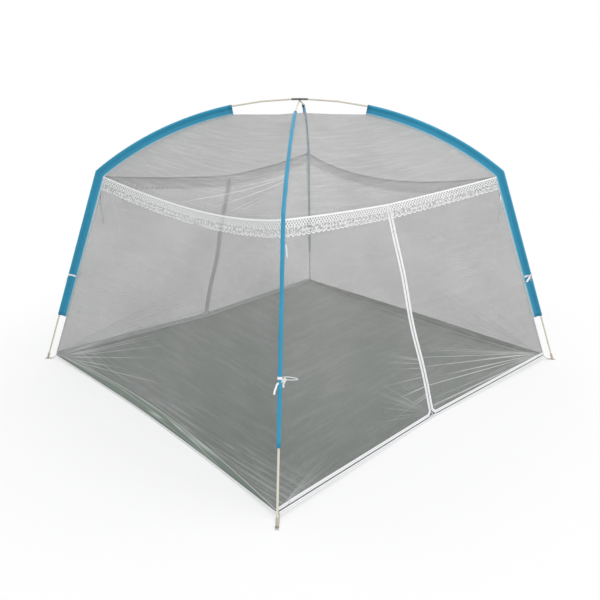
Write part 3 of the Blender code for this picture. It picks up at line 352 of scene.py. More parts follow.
class DoorHalf:
    """Half of a door wall: the flat plane of one flap, its two zips and its slanting hinge."""

    def __init__(self, wall, corner):
        self.wall = wall
        self.corner = corner
        self.name = corner.name
        self.turn = -1 if corner is wall.left else 1
        self.junction = wall.floor(0.5)[0] + UP * ZIP_FOOT_HEIGHT - wall.outward * TAPE_THICKNESS
        self.corner_point = corner.seam_at_height(ZIP_CORNER_HEIGHT)
        self.lace_point = wall.lace(0.5)[0]
        self.ex = unit(self.corner_point - self.junction)
        self.zip_way = unit(self.lace_point - self.junction)
        self.normal = unit(np.cross(self.ex, self.zip_way)) * self.turn
        self.ey = unit(self.zip_way - self.ex * (self.zip_way @ self.ex))
        self.corner_foot = self.flat(self.corner_point)
        lace = self.flat(self.lace_point)
        up_zip = unit(lace)
        self.hinge_top = lace - up_zip * ZIP_HEADER_LENGTH
        self.park_foot = self.corner_foot - np.array([ZIP_PARK_LENGTH, 0.0])
        inside = mix(self.hinge_top, self.park_foot, 0.5) / 2
        origin = np.zeros(2)
        self.zip = Line(origin, lace, inside)
        self.bottom = Line(origin, self.corner_foot, inside)
        self.hinge = Line(self.hinge_top, self.park_foot, inside)
        self.chamfer = Line(up_zip * JUNCTION_REACH, np.array([JUNCTION_REACH, 0.0]), inside)
        self.seam = Line(self.corner_foot, self.flat(self.corner_point + corner.leg), inside)

    def upper_edge(self, off_middle):
        """The edge that the upper net hangs down to: the hinge, then on to the corner."""
        corner_share = self.park_foot[0] / self.corner_foot[0]
        along = np.clip(column(off_middle) / corner_share, 0, 1)
        beyond = np.clip((column(off_middle) - corner_share) / (1 - corner_share), 0, 1)
        return mix(mix(self.hinge_top, self.park_foot, along), self.corner_foot, beyond)

    def wave(self, points):
        """Points near the upright zip, moved sideways in the slight wave of hanging tape."""
        away = points - self.junction
        part = np.clip(away @ self.zip_way / np.linalg.norm(self.hinge_top), 0, 1)
        across = abs(away @ unit(np.cross(self.zip_way, self.normal)))
        shift = ZIP_WAVE * np.sin(3 * math.pi * part) * np.sin(math.pi * part)
        shift = shift * fade(ZIP_WAVE_REACH - across, ZIP_WAVE_REACH)
        return points + self.wall.along * shift[..., None]

    def flat(self, point):
        away = point - self.junction
        return np.array([away @ self.ex, away @ self.ey])

    def place(self, spots, height=0.0):
        spots = np.atleast_2d(spots)
        return (self.junction + spots[:, :1] * self.ex + spots[:, 1:] * self.ey
                + self.normal * height)


class Value:
    """A value that a material's nodes work out, with the plain signs of arithmetic."""

    def __init__(self, tree, socket):
        self.tree = tree
        self.socket = socket

    def __add__(self, other):
        return self.tree.math("ADD", self, other)

    def __sub__(self, other):
        return self.tree.math("SUBTRACT", self, other)

    def __rsub__(self, other):
        return self.tree.math("SUBTRACT", other, self)

    def __mul__(self, other):
        return self.tree.math("MULTIPLY", self, other)

    def __truediv__(self, other):
        return self.tree.math("DIVIDE", self, other)

    def __abs__(self):
        return self.tree.math("ABSOLUTE", self)

    def or_more(self, other):
        return self.tree.math("MAXIMUM", self, other)

    def or_less(self, other):
        return self.tree.math("MINIMUM", self, other)


class Tree:
    """Short calls for the nodes of a material or of the world."""

    def __init__(self, owner):
        owner.use_nodes = True
        self.owner = owner
        self.tree = owner.node_tree
        self.shader = self.tree.nodes.get("Principled BSDF")

    def node(self, kind, inputs=(), **settings):
        made = self.tree.nodes.new(kind)
        for key, value in settings.items():
            setattr(made, key, value)
        for key, value in dict(inputs).items():
            self.feed(made.inputs[key], value)
        return made

    def out(self, output, kind, inputs=(), **settings):
        """One output of a new node, as a value."""
        return Value(self, self.node(kind, inputs, **settings).outputs[output])

    def feed(self, socket, value):
        """Link a value to a socket, or set the socket to a plain number or colour."""
        if isinstance(value, Value):
            self.tree.links.new(value.socket, socket)
        elif socket.type == "RGBA":
            socket.default_value = (*value, 1.0)
        else:
            socket.default_value = value

    def math(self, operation, first, second=0.0):
        return self.out(0, "ShaderNodeMath", {0: first, 1: second}, operation=operation)

    def split(self, vector):
        """The first two parts of a vector."""
        made = self.node("ShaderNodeSeparateXYZ", {0: vector})
        return Value(self, made.outputs[0]), Value(self, made.outputs[1])

    def uv(self, name="Weave"):
        return self.split(self.out(0, "ShaderNodeUVMap", uv_map=name))

    def position(self):
        return self.out("Object", "ShaderNodeTexCoord")

    def noise(self, place, scale, detail=2.0, rough=0.5):
        return self.out("Fac", "ShaderNodeTexNoise",
                        {"Vector": place, "Scale": scale, "Detail": detail, "Roughness": rough})

    def flat_noise(self, u, v, detail):
        return self.noise(self.out(0, "ShaderNodeCombineXYZ", {0: u, 1: v}), 1.0, detail)

    def line_noise(self, place):
        return self.out("Fac", "ShaderNodeTexNoise", {"W": place, "Scale": 1.0, "Detail": 0.0},
                        noise_dimensions="1D")

    def fibres(self, across, along, detail):
        """Noise drawn out along Z, as in drawn rod or wire."""
        place = self.out(0, "ShaderNodeMapping",
                         {"Vector": self.position(), "Scale": (across, across, along)})
        return self.noise(place, 1.0, detail)

    def ramp(self, value, low, high, to_low=0.0, to_high=1.0):
        return self.out(0, "ShaderNodeMapRange", {0: value, 1: low, 2: high, 3: to_low, 4: to_high},
                        interpolation_type="SMOOTHSTEP")

    def near(self, value, place, inner, outer):
        """1 where a value is close to a place, down to 0 where it is far from it."""
        return self.ramp(abs(value - place), inner, outer, 1.0, 0.0)

    def blend(self, share, first, second):
        """A mix of two colours, each a value or plain red, green and blue."""
        return self.out(2, "ShaderNodeMix", {0: share, 6: first, 7: second}, data_type="RGBA")

    def threads(self, value, pitch):
        """A triangle wave across one set of threads: 1 on the middle of a thread."""
        return abs(self.math("FRACT", value / pitch) - 0.5) * 2.0

    def crossing(self, first, second, pitch):
        return self.threads(first, pitch).or_more(self.threads(second, pitch))

    def seen(self):
        """1 for the rays that the backdrop shows white to: straight, mirrored or through glass."""
        path = self.node("ShaderNodeLightPath")
        straight, mirrored, through = (Value(self, path.outputs["Is %s Ray" % kind])
                                       for kind in ("Camera", "Glossy", "Transmission"))
        return straight.or_more(mirrored).or_more(through)

    def show_white(self, shader, share, kind):
        """Mix a shader with plain white light, and send the mix to the output."""
        white = self.out(0, kind, {"Color": (1.0, 1.0, 1.0), "Strength": 1.0})
        both = self.node("ShaderNodeMixShader", {0: share, 1: Value(self, shader), 2: white})
        output = next(node for node in self.tree.nodes if node.type.startswith("OUTPUT"))
        self.tree.links.new(both.outputs[0], output.inputs[0])

    def bump(self, height, strength, distance):
        inputs = {"Height": height, "Strength": strength, "Distance": distance}
        self.feed(self.shader.inputs["Normal"], self.out(0, "ShaderNodeBump", inputs))

    def set(self, **values):
        for key, value in values.items():
            self.feed(self.shader.inputs[key.replace("_", " ")], value)
        return self.owner


def material_tree(name):
    return Tree(bpy.data.materials.new(name))


def fan_creases(t, fans):
    """Lines where cloth is folded on itself, which fan out of the corners that pull on it."""
    most = 0.0
    for number, density, longest, strength, lowest, highest in fans:
        turn, reach = t.uv("Fan%d" % number)
        turn = turn - FAN_STEP * number
        away = abs(t.line_noise(turn * density) - 0.5) * reach
        crease = t.ramp(away, density * 0.0001, density * 0.0008, 1.0, 0.0)
        length = t.line_noise(turn * (density * 0.8) + 31.0)
        end = t.ramp(length, 0.34, 0.66, 0.3 * longest, longest)
        gate = t.ramp(reach / end, 0.45, 1.0, 1.0, 0.0) * t.ramp(reach, 0.02, 0.25, 0.25, 1.0)
        low, high, soft = (math.radians(angle) for angle in (lowest, highest, FAN_SOFTNESS))
        gate = gate * t.ramp(turn, low - soft, low + soft)
        gate = gate * t.ramp(turn, high - soft, high + soft, 1.0, 0.0)
        most = (crease * gate * strength).or_more(most)
    return most


def net_material(name, fans, rows):
    """Fine mesh: thin crossing threads over air, denser along the creases and brushed rows."""
    t = material_tree(name)
    u, v = t.uv()
    thread = t.ramp(t.crossing(u + v, u - v, NET_PITCH), 0.60, 0.92)
    crease = fan_creases(t, fans)
    light = crease + t.ramp(t.flat_noise(u * 4.0, v * 46.0, 2.0), 0.42, 0.72) * rows
    cloud = t.noise(t.position(), 2.6, 3.0)
    alpha = t.ramp(thread, 0.0, 1.0, 0.24, 0.74) + t.ramp(cloud, 0.3, 0.7, -0.04, 0.06) + light * 0.30
    t.bump(thread * 0.12 + crease, 0.4, 0.002)
    # Painted shade: the white thread is painted mid grey, with random tone from the cloud, and lifted
    # toward white along the creases and brushed rows.
    shade = t.blend(cloud, (0.258, 0.258, 0.253), (0.318, 0.318, 0.313))
    shade = t.blend(light.or_less(1.0), shade, (0.80, 0.80, 0.80))
    return t.set(Base_Color=shade, Roughness=0.6, Alpha=alpha.or_less(1.0))


def lace_material():
    """Knitted lace: an open diamond mesh above, then a row of flowers, one in each scallop."""
    t = material_tree("lace")
    u, v = t.uv()
    mesh = t.ramp(t.crossing(u + v, u - v, LACE_CELL), 0.62, 0.74)
    cell, edge = t.uv("Scallop")
    cell_x = cell - 0.5
    cell_y = (v - LACE_DEPTH * 0.73) / 0.040
    radius = t.math("SQRT", cell_x * cell_x + cell_y * cell_y)
    petals = t.math("COSINE", t.math("ARCTAN2", cell_y, cell_x) * 6.0) * 0.08
    flower = t.near(radius, petals + 0.27, 0.035, 0.070)
    heart = t.ramp(radius, 0.07, 0.11, 1.0, 0.0)
    leaf = t.near(abs(cell_x), 0.46, 0.03, 0.06)
    fine = t.ramp(t.crossing(u, v, 0.0040), 0.66, 0.85, 0.10, 0.50)
    knots = t.ramp(t.flat_noise(u * 75.0, v * 75.0, 1.0), 0.42, 0.58, 0.30, 1.25)
    lower = knots * flower.or_more(heart).or_more(fine.or_more(leaf))
    low_part = t.ramp(v, LACE_DEPTH * 0.50, LACE_DEPTH * 0.54)
    pattern = lower * low_part + mesh * (1.0 - low_part)
    rim = t.ramp(edge, 0.92, 0.95) * 0.85
    solid = pattern.or_less(1.0).or_more(rim)
    t.bump(solid, 0.6, 0.0012)
    color = t.blend(t.noise(t.position(), 60.0), (0.78, 0.78, 0.78), (0.90, 0.90, 0.90))
    return t.set(Base_Color=color, Roughness=0.75, Alpha=t.ramp(solid, 0.0, 1.0, 0.0, 0.95))


def tape_material(name, light, dark, stitches=(), half_width=0.0005):
    """Woven tape with a twill weave and rows of stitches along it."""
    t = material_tree(name)
    u, v = t.uv()
    height = t.threads(u + v * 0.6, 0.0016) + t.threads(v, 0.0011) * 0.5
    color = t.blend(t.noise(t.position(), 9.0, 3.0) * 0.8, light, dark)
    for place in stitches:
        row = t.near(v, place, half_width * 0.7, half_width * 1.2)
        stitch = row * t.ramp(t.threads(u, STITCH_LENGTH), 0.18, 0.26)
        color = t.blend(stitch, color, (0.42, 0.43, 0.44))
        height = height - stitch * 1.6
    t.bump(height, 0.35, 0.0006)
    return t.set(Base_Color=color, Roughness=0.8)


def sleeve_material(throat, around):
    """Blue woven polyester: plain weave, puckers, the seam beside the pole and stitched hems."""
    t = material_tree("sleeve_cloth")
    u, v = t.uv()
    weave = t.threads(u, 0.0011) + t.threads(v, 0.0011)
    pucker = t.flat_noise(u * 55.0, v * 18.0, 3.0)
    color = t.blend(t.noise(t.position(), 6.0, 4.0), (0.003, 0.198, 0.350), (0.014, 0.300, 0.478))
    side = v.or_less(around - v)
    seam = t.near(side, throat, 0.0008, 0.0022)
    hem = t.uv("Hem")[0]
    hem_shade = t.ramp(hem, 0.018, 0.021, 1.0, 0.0) * 0.35
    # Painted shade: the blue is darkened along the throat seam and near each hem.
    color = t.blend((seam * 0.15).or_more(hem_shade), color, (0.002, 0.075, 0.190))
    # Painted highlight: light blue along the free edge of the web, on both faces.
    painted_edge_highlight = t.ramp(side, PAINTED_HIGHLIGHT_WIDTH * 0.8, PAINTED_HIGHLIGHT_WIDTH, 0.75, 0.0)
    color = t.blend(painted_edge_highlight, color, (0.36, 0.62, 0.74))
    stitch = t.near(hem, 0.017, 0.0005, 0.001) * t.ramp(t.threads(v, STITCH_LENGTH), 0.3, 0.4)
    t.bump(weave * 0.10 + pucker - stitch.or_more(seam), 0.5, 0.002)
    return t.set(Base_Color=color, Roughness=0.5, Sheen_Weight=0.08)


def floor_material():
    """Grey-green coated polyester with pressed-in creases that fan out of the corners."""
    t = material_tree("floor_cloth")
    u, v = t.uv()
    weave = t.threads(u, 0.0014) + t.threads(v, 0.0014)
    crease = fan_creases(t, FLOOR_FANS)
    from_side = u.or_less(FLOOR_LENGTH + 2 * FLOOR_SIDE_HEIGHT - u)
    ridge = t.near(t.flat_noise(u * 34.0, v * 1.1, 1.0), 0.5, 0.0, 0.050)
    ridge = ridge * t.ramp(from_side, 0.08, 0.38, 0.85, 0.0)
    ridge = ridge * t.ramp(t.noise(t.position(), 3.1), 0.30, 0.46)
    crumple = t.near(t.noise(t.position(), 2.2, 4.0, 0.55), 0.5, 0.0, 0.007)
    crumple = crumple * t.ramp(t.noise(t.position(), 1.9), 0.52, 0.64)
    light = crease.or_more(ridge).or_more(crumple * 0.22)
    x, y = t.split(t.position())
    # Painted shade darkens the cloth toward the front corner, less at the turned-up sides, and painted
    # light lightens it toward the back.
    painted_shade_front = t.ramp(x + y, -2.0, -0.3, 1.0, 0.0) * t.ramp(from_side, 0.03, 0.14, 0.15, 0.80)
    painted_light_back = t.ramp(x + y, 0.0, 1.8) * 0.70
    shade = t.blend(t.noise(t.position(), 1.3, 4.0), (0.142, 0.182, 0.153), (0.202, 0.235, 0.203))
    shade = t.blend(painted_shade_front, shade, (0.060, 0.110, 0.080))
    shade = t.blend(painted_light_back, shade, (0.300, 0.310, 0.285))
    shade = t.blend(light * 0.75, shade, (0.56, 0.60, 0.57))
    t.bump(weave * 0.05 + light, 0.5, 0.002)
    return t.set(Base_Color=shade, Roughness=0.5)


def pole_material():
    """Drawn fibreglass: fine lengthwise fibres under a clear resin skin."""
    t = material_tree("fibreglass")
    fibre = t.fibres(900.0, 25.0, 3.0)
    t.bump(fibre, 0.15, 0.0004)
    return t.set(Base_Color=t.blend(fibre, (0.52, 0.48, 0.38), (0.76, 0.73, 0.62)), Roughness=0.38,
                 Coat_Weight=0.3)


def metal_material(name, light, dark, metallic, rough):
    """Drawn or cast metal with fine scratches and patches of duller skin."""
    t = material_tree(name)
    patch = t.noise(t.position(), 70.0, 3.0)
    t.bump(t.fibres(1400.0, 90.0, 2.0), 0.12, 0.0002)
    return t.set(Base_Color=t.blend(patch, light, dark), Metallic=metallic,
                 Roughness=t.ramp(patch, 0.3, 0.7, rough, rough + 0.18))


def plain_material(name, light, dark, rough, grain):
    """Moulded plastic, rubber or braid with a fine grain."""
    t = material_tree(name)
    spots = t.noise(t.position(), grain, 3.0)
    t.bump(spots, 0.25, 0.0004)
    return t.set(Base_Color=t.blend(spots, light, dark), Roughness=rough)


def add_object(name, data):
    obj = bpy.data.objects.new(name, data)
    bpy.context.scene.collection.objects.link(obj)
    return obj


def make_mesh(name, points, faces, material, uvs=None, smooth=True, body="root"):
    """A mesh piece that rides on a body. uvs maps a layer's name to one pair per point."""
    mesh = bpy.data.meshes.new(name)
    mesh.from_pydata(np.asarray(points, float).tolist(), [], [list(map(int, f)) for f in faces])
    corner = np.zeros(len(mesh.loops), int)
    mesh.loops.foreach_get("vertex_index", corner)
    for layer, spots in (uvs or {}).items():
        made = mesh.uv_layers.new(name=layer)
        made.data.foreach_set("uv", np.asarray(spots, np.float32)[corner].ravel())
    mesh.materials.append(material)
    if smooth:
        mesh.shade_smooth()
    obj = add_object(name, mesh)
    if body:
        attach(obj, body)
    return obj


def grid_faces(rows, columns, closed=False):
    """Quads of a grid of points, joined round at its last column where it is closed."""
    faces = []
    for r in range(rows - 1):
        for c in range(columns if closed else columns - 1):
            d, low, high = (c + 1) % columns, r * columns, (r + 1) * columns
            faces.append((low + c, low + d, high + d, high + c))
    return faces


def grid_mesh(name, points, material, uvs, closed=False, body="root"):
    faces = grid_faces(*points.shape[:2], closed=closed)
    return make_mesh(name, points.reshape(-1, 3), faces, material, uvs, body=body)


def circle(count):
    turns = np.linspace(0, 2 * math.pi, count + 1)[:-1]
    return [(math.cos(turn), math.sin(turn)) for turn in turns]


def gather(points, faces):
    """The points and faces of several parts, as those of one mesh."""
    starts = np.cumsum([0] + [len(part) for part in points])
    joined = [[start + i for i in face] for start, part in zip(starts, faces) for face in part]
    return np.concatenate(points), joined


def pairs(first, second):
    return np.stack([np.asarray(first, float).ravel(), np.asarray(second, float).ravel()], axis=1)


def sheet_area(points):
    """Area of a grid of points as triangles."""
    a, b = points[:-1, :-1], points[:-1, 1:]
    c, d = points[1:, 1:], points[1:, :-1]
    halves = np.cross(b - a, c - a), np.cross(c - a, d - a)
    return float(sum(np.linalg.norm(half, axis=-1).sum() / 2 for half in halves))


def grid_normals(points):
    across = np.gradient(points, axis=1)
    along = np.gradient(points, axis=0)
    return unit(np.cross(across, along) + 1e-12)


def lengths(points, axis=0):
    """How far each point of a line or grid is from the start of its row, along the cloth."""
    steps = np.linalg.norm(np.diff(points, axis=axis), axis=-1)
    start = np.zeros_like(np.take(steps, [0], axis=axis))
    return np.concatenate([start, np.cumsum(steps, axis=axis)], axis=axis)


def inset(u, v):
    """0 at the edges of a grid of net, rising to 1 well inside it."""
    across = fade(u - u[:, :1], 0.12) * fade(u[:, -1:] - u, 0.12)
    return across * fade(v - v[:1], 0.10) * fade(v[-1:] - v, 0.10)


def ripple(points, scale, seed):
    """Smooth noise from -1 to 1 at each point."""
    flat = points.reshape(-1, 3)
    offset = Vector((seed, -seed, 2 * seed))
    values = [noise.noise(Vector(p) * scale + offset) for p in flat]
    return np.array(values).reshape(points.shape[:-1])


def around_pull(u, v, centre):
    """Angle and distance of each point from a place that pulls on the cloth.

    A weak pull makes the distance count for more, so that the creases are short.
    """
    u0, v0, pull = centre
    return np.arctan2(v - v0, np.abs(u - u0) + 1e-6), np.hypot(u - u0, v - v0) / pull


def fan_layers(u, v, centres):
    """UV layers with each point's angle and distance from each place that pulls on the cloth."""
    layers = {}
    for number, centre in enumerate(centres):
        turn, reach = around_pull(u, v, centre)
        layers["Fan%d" % number] = pairs(turn + FAN_STEP * number, reach)
    return layers


def fold_height(u, v, centres, density):
    """Soft folds that run out of the pulling corners, from about -1 to 1."""
    height = np.zeros(u.shape)
    for number, centre in enumerate(centres):
        turn, reach = around_pull(u, v, centre)
        row = 7.0 * number + FOLD_SEED
        folds = [noise.noise(Vector((a * density, row, 0.0))) for a in turn.ravel()]
        height += np.array(folds).reshape(u.shape) * fade(reach, 0.15) * np.exp(-reach / 0.4)
    return 2 * height


def ripple_net(points, edge_share, height, seed):
    """Pull a net out of its plane in soft folds that die away at its edges."""
    soft = ripple(points, 2.3, seed) + 0.5 * ripple(points, 6.0, seed + 3)
    return points + grid_normals(points) * (soft * height * edge_share)[..., None]


def panel(name, points, u, v, centres, material, height, body="root"):
    """A net panel from a grid of points, rippled and given soft folds."""
    points = ripple_net(points, inset(u, v), height, FOLD_SEED)
    folds = fold_height(u, v, centres, 7.0) * inset(u, v) * height * 0.7
    points = points + grid_normals(points) * folds[..., None]
    uvs = {"Weave": pairs(u, v), **fan_layers(u, v, centres)}
    obj = grid_mesh(name, points, material, uvs, body=body)
    sheet_area(points)
    return obj


def make_plain_net(wall, material):
    share = np.linspace(0.0, 1.0, 181)
    low = wall.side_share(share)
    points = np.stack([wall.surface(share, mix(low, 1.0, rise)) for rise in np.linspace(0, 1, 91)])
    width = np.linalg.norm(points[:, -1] - points[:, 0], axis=-1)[:, None]
    u = (share[None, :] - 0.5) * width
    v = lengths(points) + (low * wall.height())[None, :]
    centres = [(u[0, 0], 0, 1.0), (u[0, -1], 0, 0.8)] + [(u[-1, k], v[-1, k], 1.0) for k in (0, -1)]
    obj = panel("net_" + wall.name, points, u, v, centres, material, WALL_RIPPLE)
    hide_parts("net_wall_" + wall.name)


def roof_share(corner, distance):
    """How far the roof net has left the lace seam's dip behind, at a distance up its seam."""
    socket = BEND_REACH + SOCKET_LENGTH
    places = [0, BEND_REACH, socket]
    places += [socket + (corner.sleeve_end - socket) * i / 6 for i in range(1, 7)]
    return np.interp(distance, places, np.linspace(0, 1, len(places)))


def make_roof_net(walls, corners, material):
    """Four gores of net in one piece, from the lace seams up to a small peak at the crown."""
    crown = sum(corner.seam(corner.sleeve_end)[0] for corner in corners.values()) / len(corners)
    crown = crown + UP * CROWN_PEAK_RISE
    share = np.linspace(0.0, 1.0, 65)
    rises = np.linspace(0.0, 1.0, 46)
    peak = np.linspace(0.0, 1.0, 14)[1:]
    points, faces, layers, total = [], [], [], 0.0
    for wall in walls.values():
        left, right = (corner.seam(rises * corner.sleeve_end, ROOF_NET_LAP)
                       for corner in (wall.left, wall.right))
        rows = []
        for k, rise in enumerate(rises):
            grown = roof_share(wall.left, rise * wall.left.sleeve_end)
            dip = mix(wall.lace_dip, -UP * CROWN_SAG, grown)
            kept = 1 - (1 - wall.lace_bow_share) * (1 - grown)
            level = mix(left[k], right[k], column(share))
            rows.append(level + dip * wall.dip_share(column(share), kept))
        rows += [mix(rows[-1], crown, part) for part in peak]
        grid = np.stack(rows)
        width = np.linalg.norm(grid[:, -1] - grid[:, 0], axis=-1)[:, None]
        u = (share[None, :] - 0.5) * width
        v = np.repeat(np.arange(len(rows))[:, None] * ROOF_ROW_STEP, len(share), axis=1)
        inner = fade(np.minimum(share, 1 - share)[None, :] * width, 0.08) * fade(v, 0.05)
        grid = ripple_net(grid, inner, ROOF_RIPPLE, FOLD_SEED + 1)
        points.append(grid.reshape(-1, 3))
        faces.append(grid_faces(*grid.shape[:2]))
        held = len(rises) // 3
        pull = 0.35 if wall.door else 1.3
        centres = [(u[held, 0] - ROOF_FAN_OUT, v[held, 0] + ROOF_FAN_UP, 0.8),
                   (u[held, -1] + ROOF_FAN_OUT, v[held, -1] + ROOF_FAN_UP, pull)]
        layers.append({"Weave": pairs(u, v), **fan_layers(u, v, centres)})
        total += sheet_area(grid)
    uvs = {layer: np.concatenate([gore[layer] for gore in layers]) for layer in layers[0]}
    obj = make_mesh("net_roof_cloth", *gather(points, faces), material, uvs)
    ["sleeve_" + name for name in corners]
    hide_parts("net_roof")


def make_door_net(half, material):
    """The net of half a door wall in one sheet, which runs across the flap's hinge line."""
    wall = half.wall
    width = half.corner_foot[0]
    lap = COIL_EDGE + DOOR_NET_LAP
    share = np.linspace(lap / width, 1.0, 111)
    base = np.stack([share * width, np.full(len(share), lap)], axis=1)
    hinge = half.upper_edge(share)
    hinge[:, 1] = np.maximum(hinge[:, 1], lap)
    low, middle = half.place(base), half.place(hinge)
    top = wall.lace(0.5 + half.turn * share / 2)
    rows = [half.wave(mix(low, middle, rise)) for rise in np.linspace(0, 1, 81)]
    rows += [mix(middle, top, rise) for rise in np.linspace(0, 1, 51)[1:]]
    points = np.stack(rows)
    v = lengths(points)
    u = np.repeat(share[None, :] * width, len(rows), axis=0)
    pull, zip_pull = (1.0, WEAK_PULL) if half.turn > 0 else (WEAK_PULL, 1.0)
    centres = [(width, 0, pull), (0, 0, zip_pull), (width, v[-1, -1], 1.0),
               (-ZIP_FAN_OUT, ZIP_FAN_UP, zip_pull)]
    obj = panel("net_" + wall.name + "_" + half.name, points, u, v, centres, material, DOOR_RIPPLE,
                body=None)
    on_hinge = half.place(mix(half.hinge_top, half.park_foot, 0.5))[0]
    across = half.hinge.normal[0] * half.ex + half.hinge.normal[1] * half.ey
    Vector(on_hinge - across * DOOR_BLEND[0])
    Vector(on_hinge + across * DOOR_BLEND[1])
    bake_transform(obj)


def strip_mesh(edges, thickness, normals):
    """Points and faces of a flat strip between two edges, with its thickness either side."""
    first, second = edges
    offset = normals * (thickness / 2)
    ring = np.stack([first + offset, second + offset, second - offset, first - offset], axis=1)
    faces = grid_faces(len(first), 4, closed=True)
    last = 4 * (len(first) - 1)
    faces += [(3, 2, 1, 0), (last, last + 1, last + 2, last + 3)]
    return ring.reshape(-1, 3), faces


def band(name, middle, across, width, thickness, material):
    """A strip of tape along a line, with its width set by one direction at each point."""
    across = np.broadcast_to(across, middle.shape)
    way = np.gradient(middle, axis=0)
    normals = unit(np.cross(way, across))
    across = unit(np.cross(normals, way))
    edges = middle - across * width / 2, middle + across * width / 2
    points, faces = strip_mesh(edges, thickness, normals)
    uvs = pairs(np.repeat(lengths(middle), 4), np.tile([0, width, width, 0], len(middle)))
    obj = make_mesh(name, points, faces, material, {"Weave": uvs}, smooth=False)
    return obj


def join_parts(name, parts, tape, coil, node, body="root"):
    """One piece of tape and coil, from sets of points, faces, uv pairs and material numbers."""
    points, faces, uvs, numbers = zip(*parts)
    obj = make_mesh(name, *gather(points, faces), tape, {"Weave": np.concatenate(uvs)}, False, body)
    obj.data.materials.append(coil)
    numbers = [number for number, part in zip(numbers, faces) for _ in part]
    obj.data.polygons.foreach_set("material_index", numbers)
    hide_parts(node)


def spots_along(path, step):
    """Places about a step apart along a path of corner points, counted in its corners."""
    spots = [0.0]
    for k, (start, end) in enumerate(zip(path, path[1:])):
        count = max(int(round(np.linalg.norm(end - start) / step)), 1)
        spots += [k + i / count for i in range(1, count + 1)]
    return spots


def on_path(path, spots):
    return np.stack([np.interp(spots, range(len(path)), side) for side in np.transpose(path)], axis=1)


def tape_part(half, inner_path, outer_path):
    """Flat tape between an inner and an outer path in the plane of half a door wall."""
    spots = spots_along(inner_path, TAPE_STEP)
    inner, outer = (half.wave(half.place(on_path(path, spots))) for path in (inner_path, outer_path))
    normals = np.broadcast_to(half.normal, inner.shape)
    points, faces = strip_mesh((inner, outer), TAPE_THICKNESS, normals)
    width = np.linalg.norm(outer - inner, axis=1)
    across = np.stack([0 * width, width, width, 0 * width], axis=1)
    return points, faces, pairs(np.repeat(lengths(outer), 4), across), 0


def teeth_part(half, path, phase):
    """A row of coil teeth along a path in the plane of half a door wall."""
    points, faces = [], []
    long, wide, tall = (size / 2 for size in TOOTH_SIZE)
    count = len(TOOTH_OUTLINE)
    tooth = grid_faces(2, count, closed=True)
    tooth += [tuple(range(count - 1, -1, -1)), tuple(range(count, 2 * count))]
    for start, end in zip(path, path[1:]):
        length = np.linalg.norm(end - start)
        way = (end - start) / length
        side = np.array([-way[1], way[0]])
        along, across = (half.ex * w[0] + half.ey * w[1] for w in (way, side))
        for i in range(int(length / TOOTH_PITCH)):
            centre = half.wave(half.place(start + way * TOOTH_PITCH * (i + phase)))[0]
            faces += [[len(points) + j for j in face] for face in tooth]
            points += [centre + along * long * a + half.normal * tall * b + across * w
                       for w in (-wide, wide) for a, b in TOOTH_OUTLINE]
    return np.array(points), faces, np.zeros((len(points), 2)), 1


def zip_parts(half, lines, ends, phase):
    """Tape and teeth of one side of a zip that follows a chain of lines."""
    def path(distance):
        return [first.meet(ends.get(id(first), distance), second, ends.get(id(second), distance))
                for first, second in zip(lines, lines[1:])]
    return [tape_part(half, path(TAPE_INNER_EDGE), path(TAPE_EDGE)),
            teeth_part(half, path(TOOTH_LINE), phase)]


def make_zips(wall, tape, coil):
    """Coil zips: the upright one between the flaps and the one along the floor."""
    fixed, floor = [], []
    for half in wall.halves:
        phase = 0.25 if half.turn < 0 else 0.75
        ends = {id(half.hinge): TAPE_HINGE_GAP}
        chain = [half.hinge, half.zip, half.chamfer, half.bottom, half.hinge]
        parts, door = zip_parts(half, chain, ends, phase), "door_" + half.name
        join_parts("door_zip_" + half.name, parts, tape, coil, door, door)
        ends = {id(half.hinge): -TAPE_HINGE_GAP, id(half.seam): COIL_EDGE}
        fixed += zip_parts(half, [half.hinge, half.bottom, half.seam], ends, phase)
        top = Line(half.flat(half.lace_point), half.flat(half.lace_point + wall.along), half.hinge_top)
        fixed += zip_parts(half, [half.hinge, half.zip, top], ends, phase)
        reach = half.corner_foot[0] - COIL_EDGE
        low = ZIP_FOOT_HEIGHT / half.ey[2]

        def level(distance):
            return [np.array([0.0, -distance]), np.array([reach, -distance])]
        bead = [half.chamfer.meet(0.0, half.zip, TOOTH_LINE),
                half.zip.meet(TOOTH_LINE, half.bottom, TOOTH_LINE),
                half.bottom.meet(TOOTH_LINE, half.chamfer, 0.0)]
        floor += [tape_part(half, level(TAPE_INNER_EDGE), level(low - 0.001)),
                  teeth_part(half, level(TOOTH_LINE), 1 - phase), teeth_part(half, bead, phase)]
    join_parts("zip_fixed_" + wall.name, fixed, tape, coil, "net_wall_" + wall.name)
    join_parts("zip_floor_" + wall.name, floor, tape, coil, "floor_zip_tape_" + wall.name)


def hanging_way(wall, share):
    """Unit vectors down the net from the lace seam, and out of it."""
    top = wall.lace(share)
    down = unit(wall.foot(share) - top)
    across = np.broadcast_to(wall.along, top.shape)
    return down, unit(np.cross(down, across))


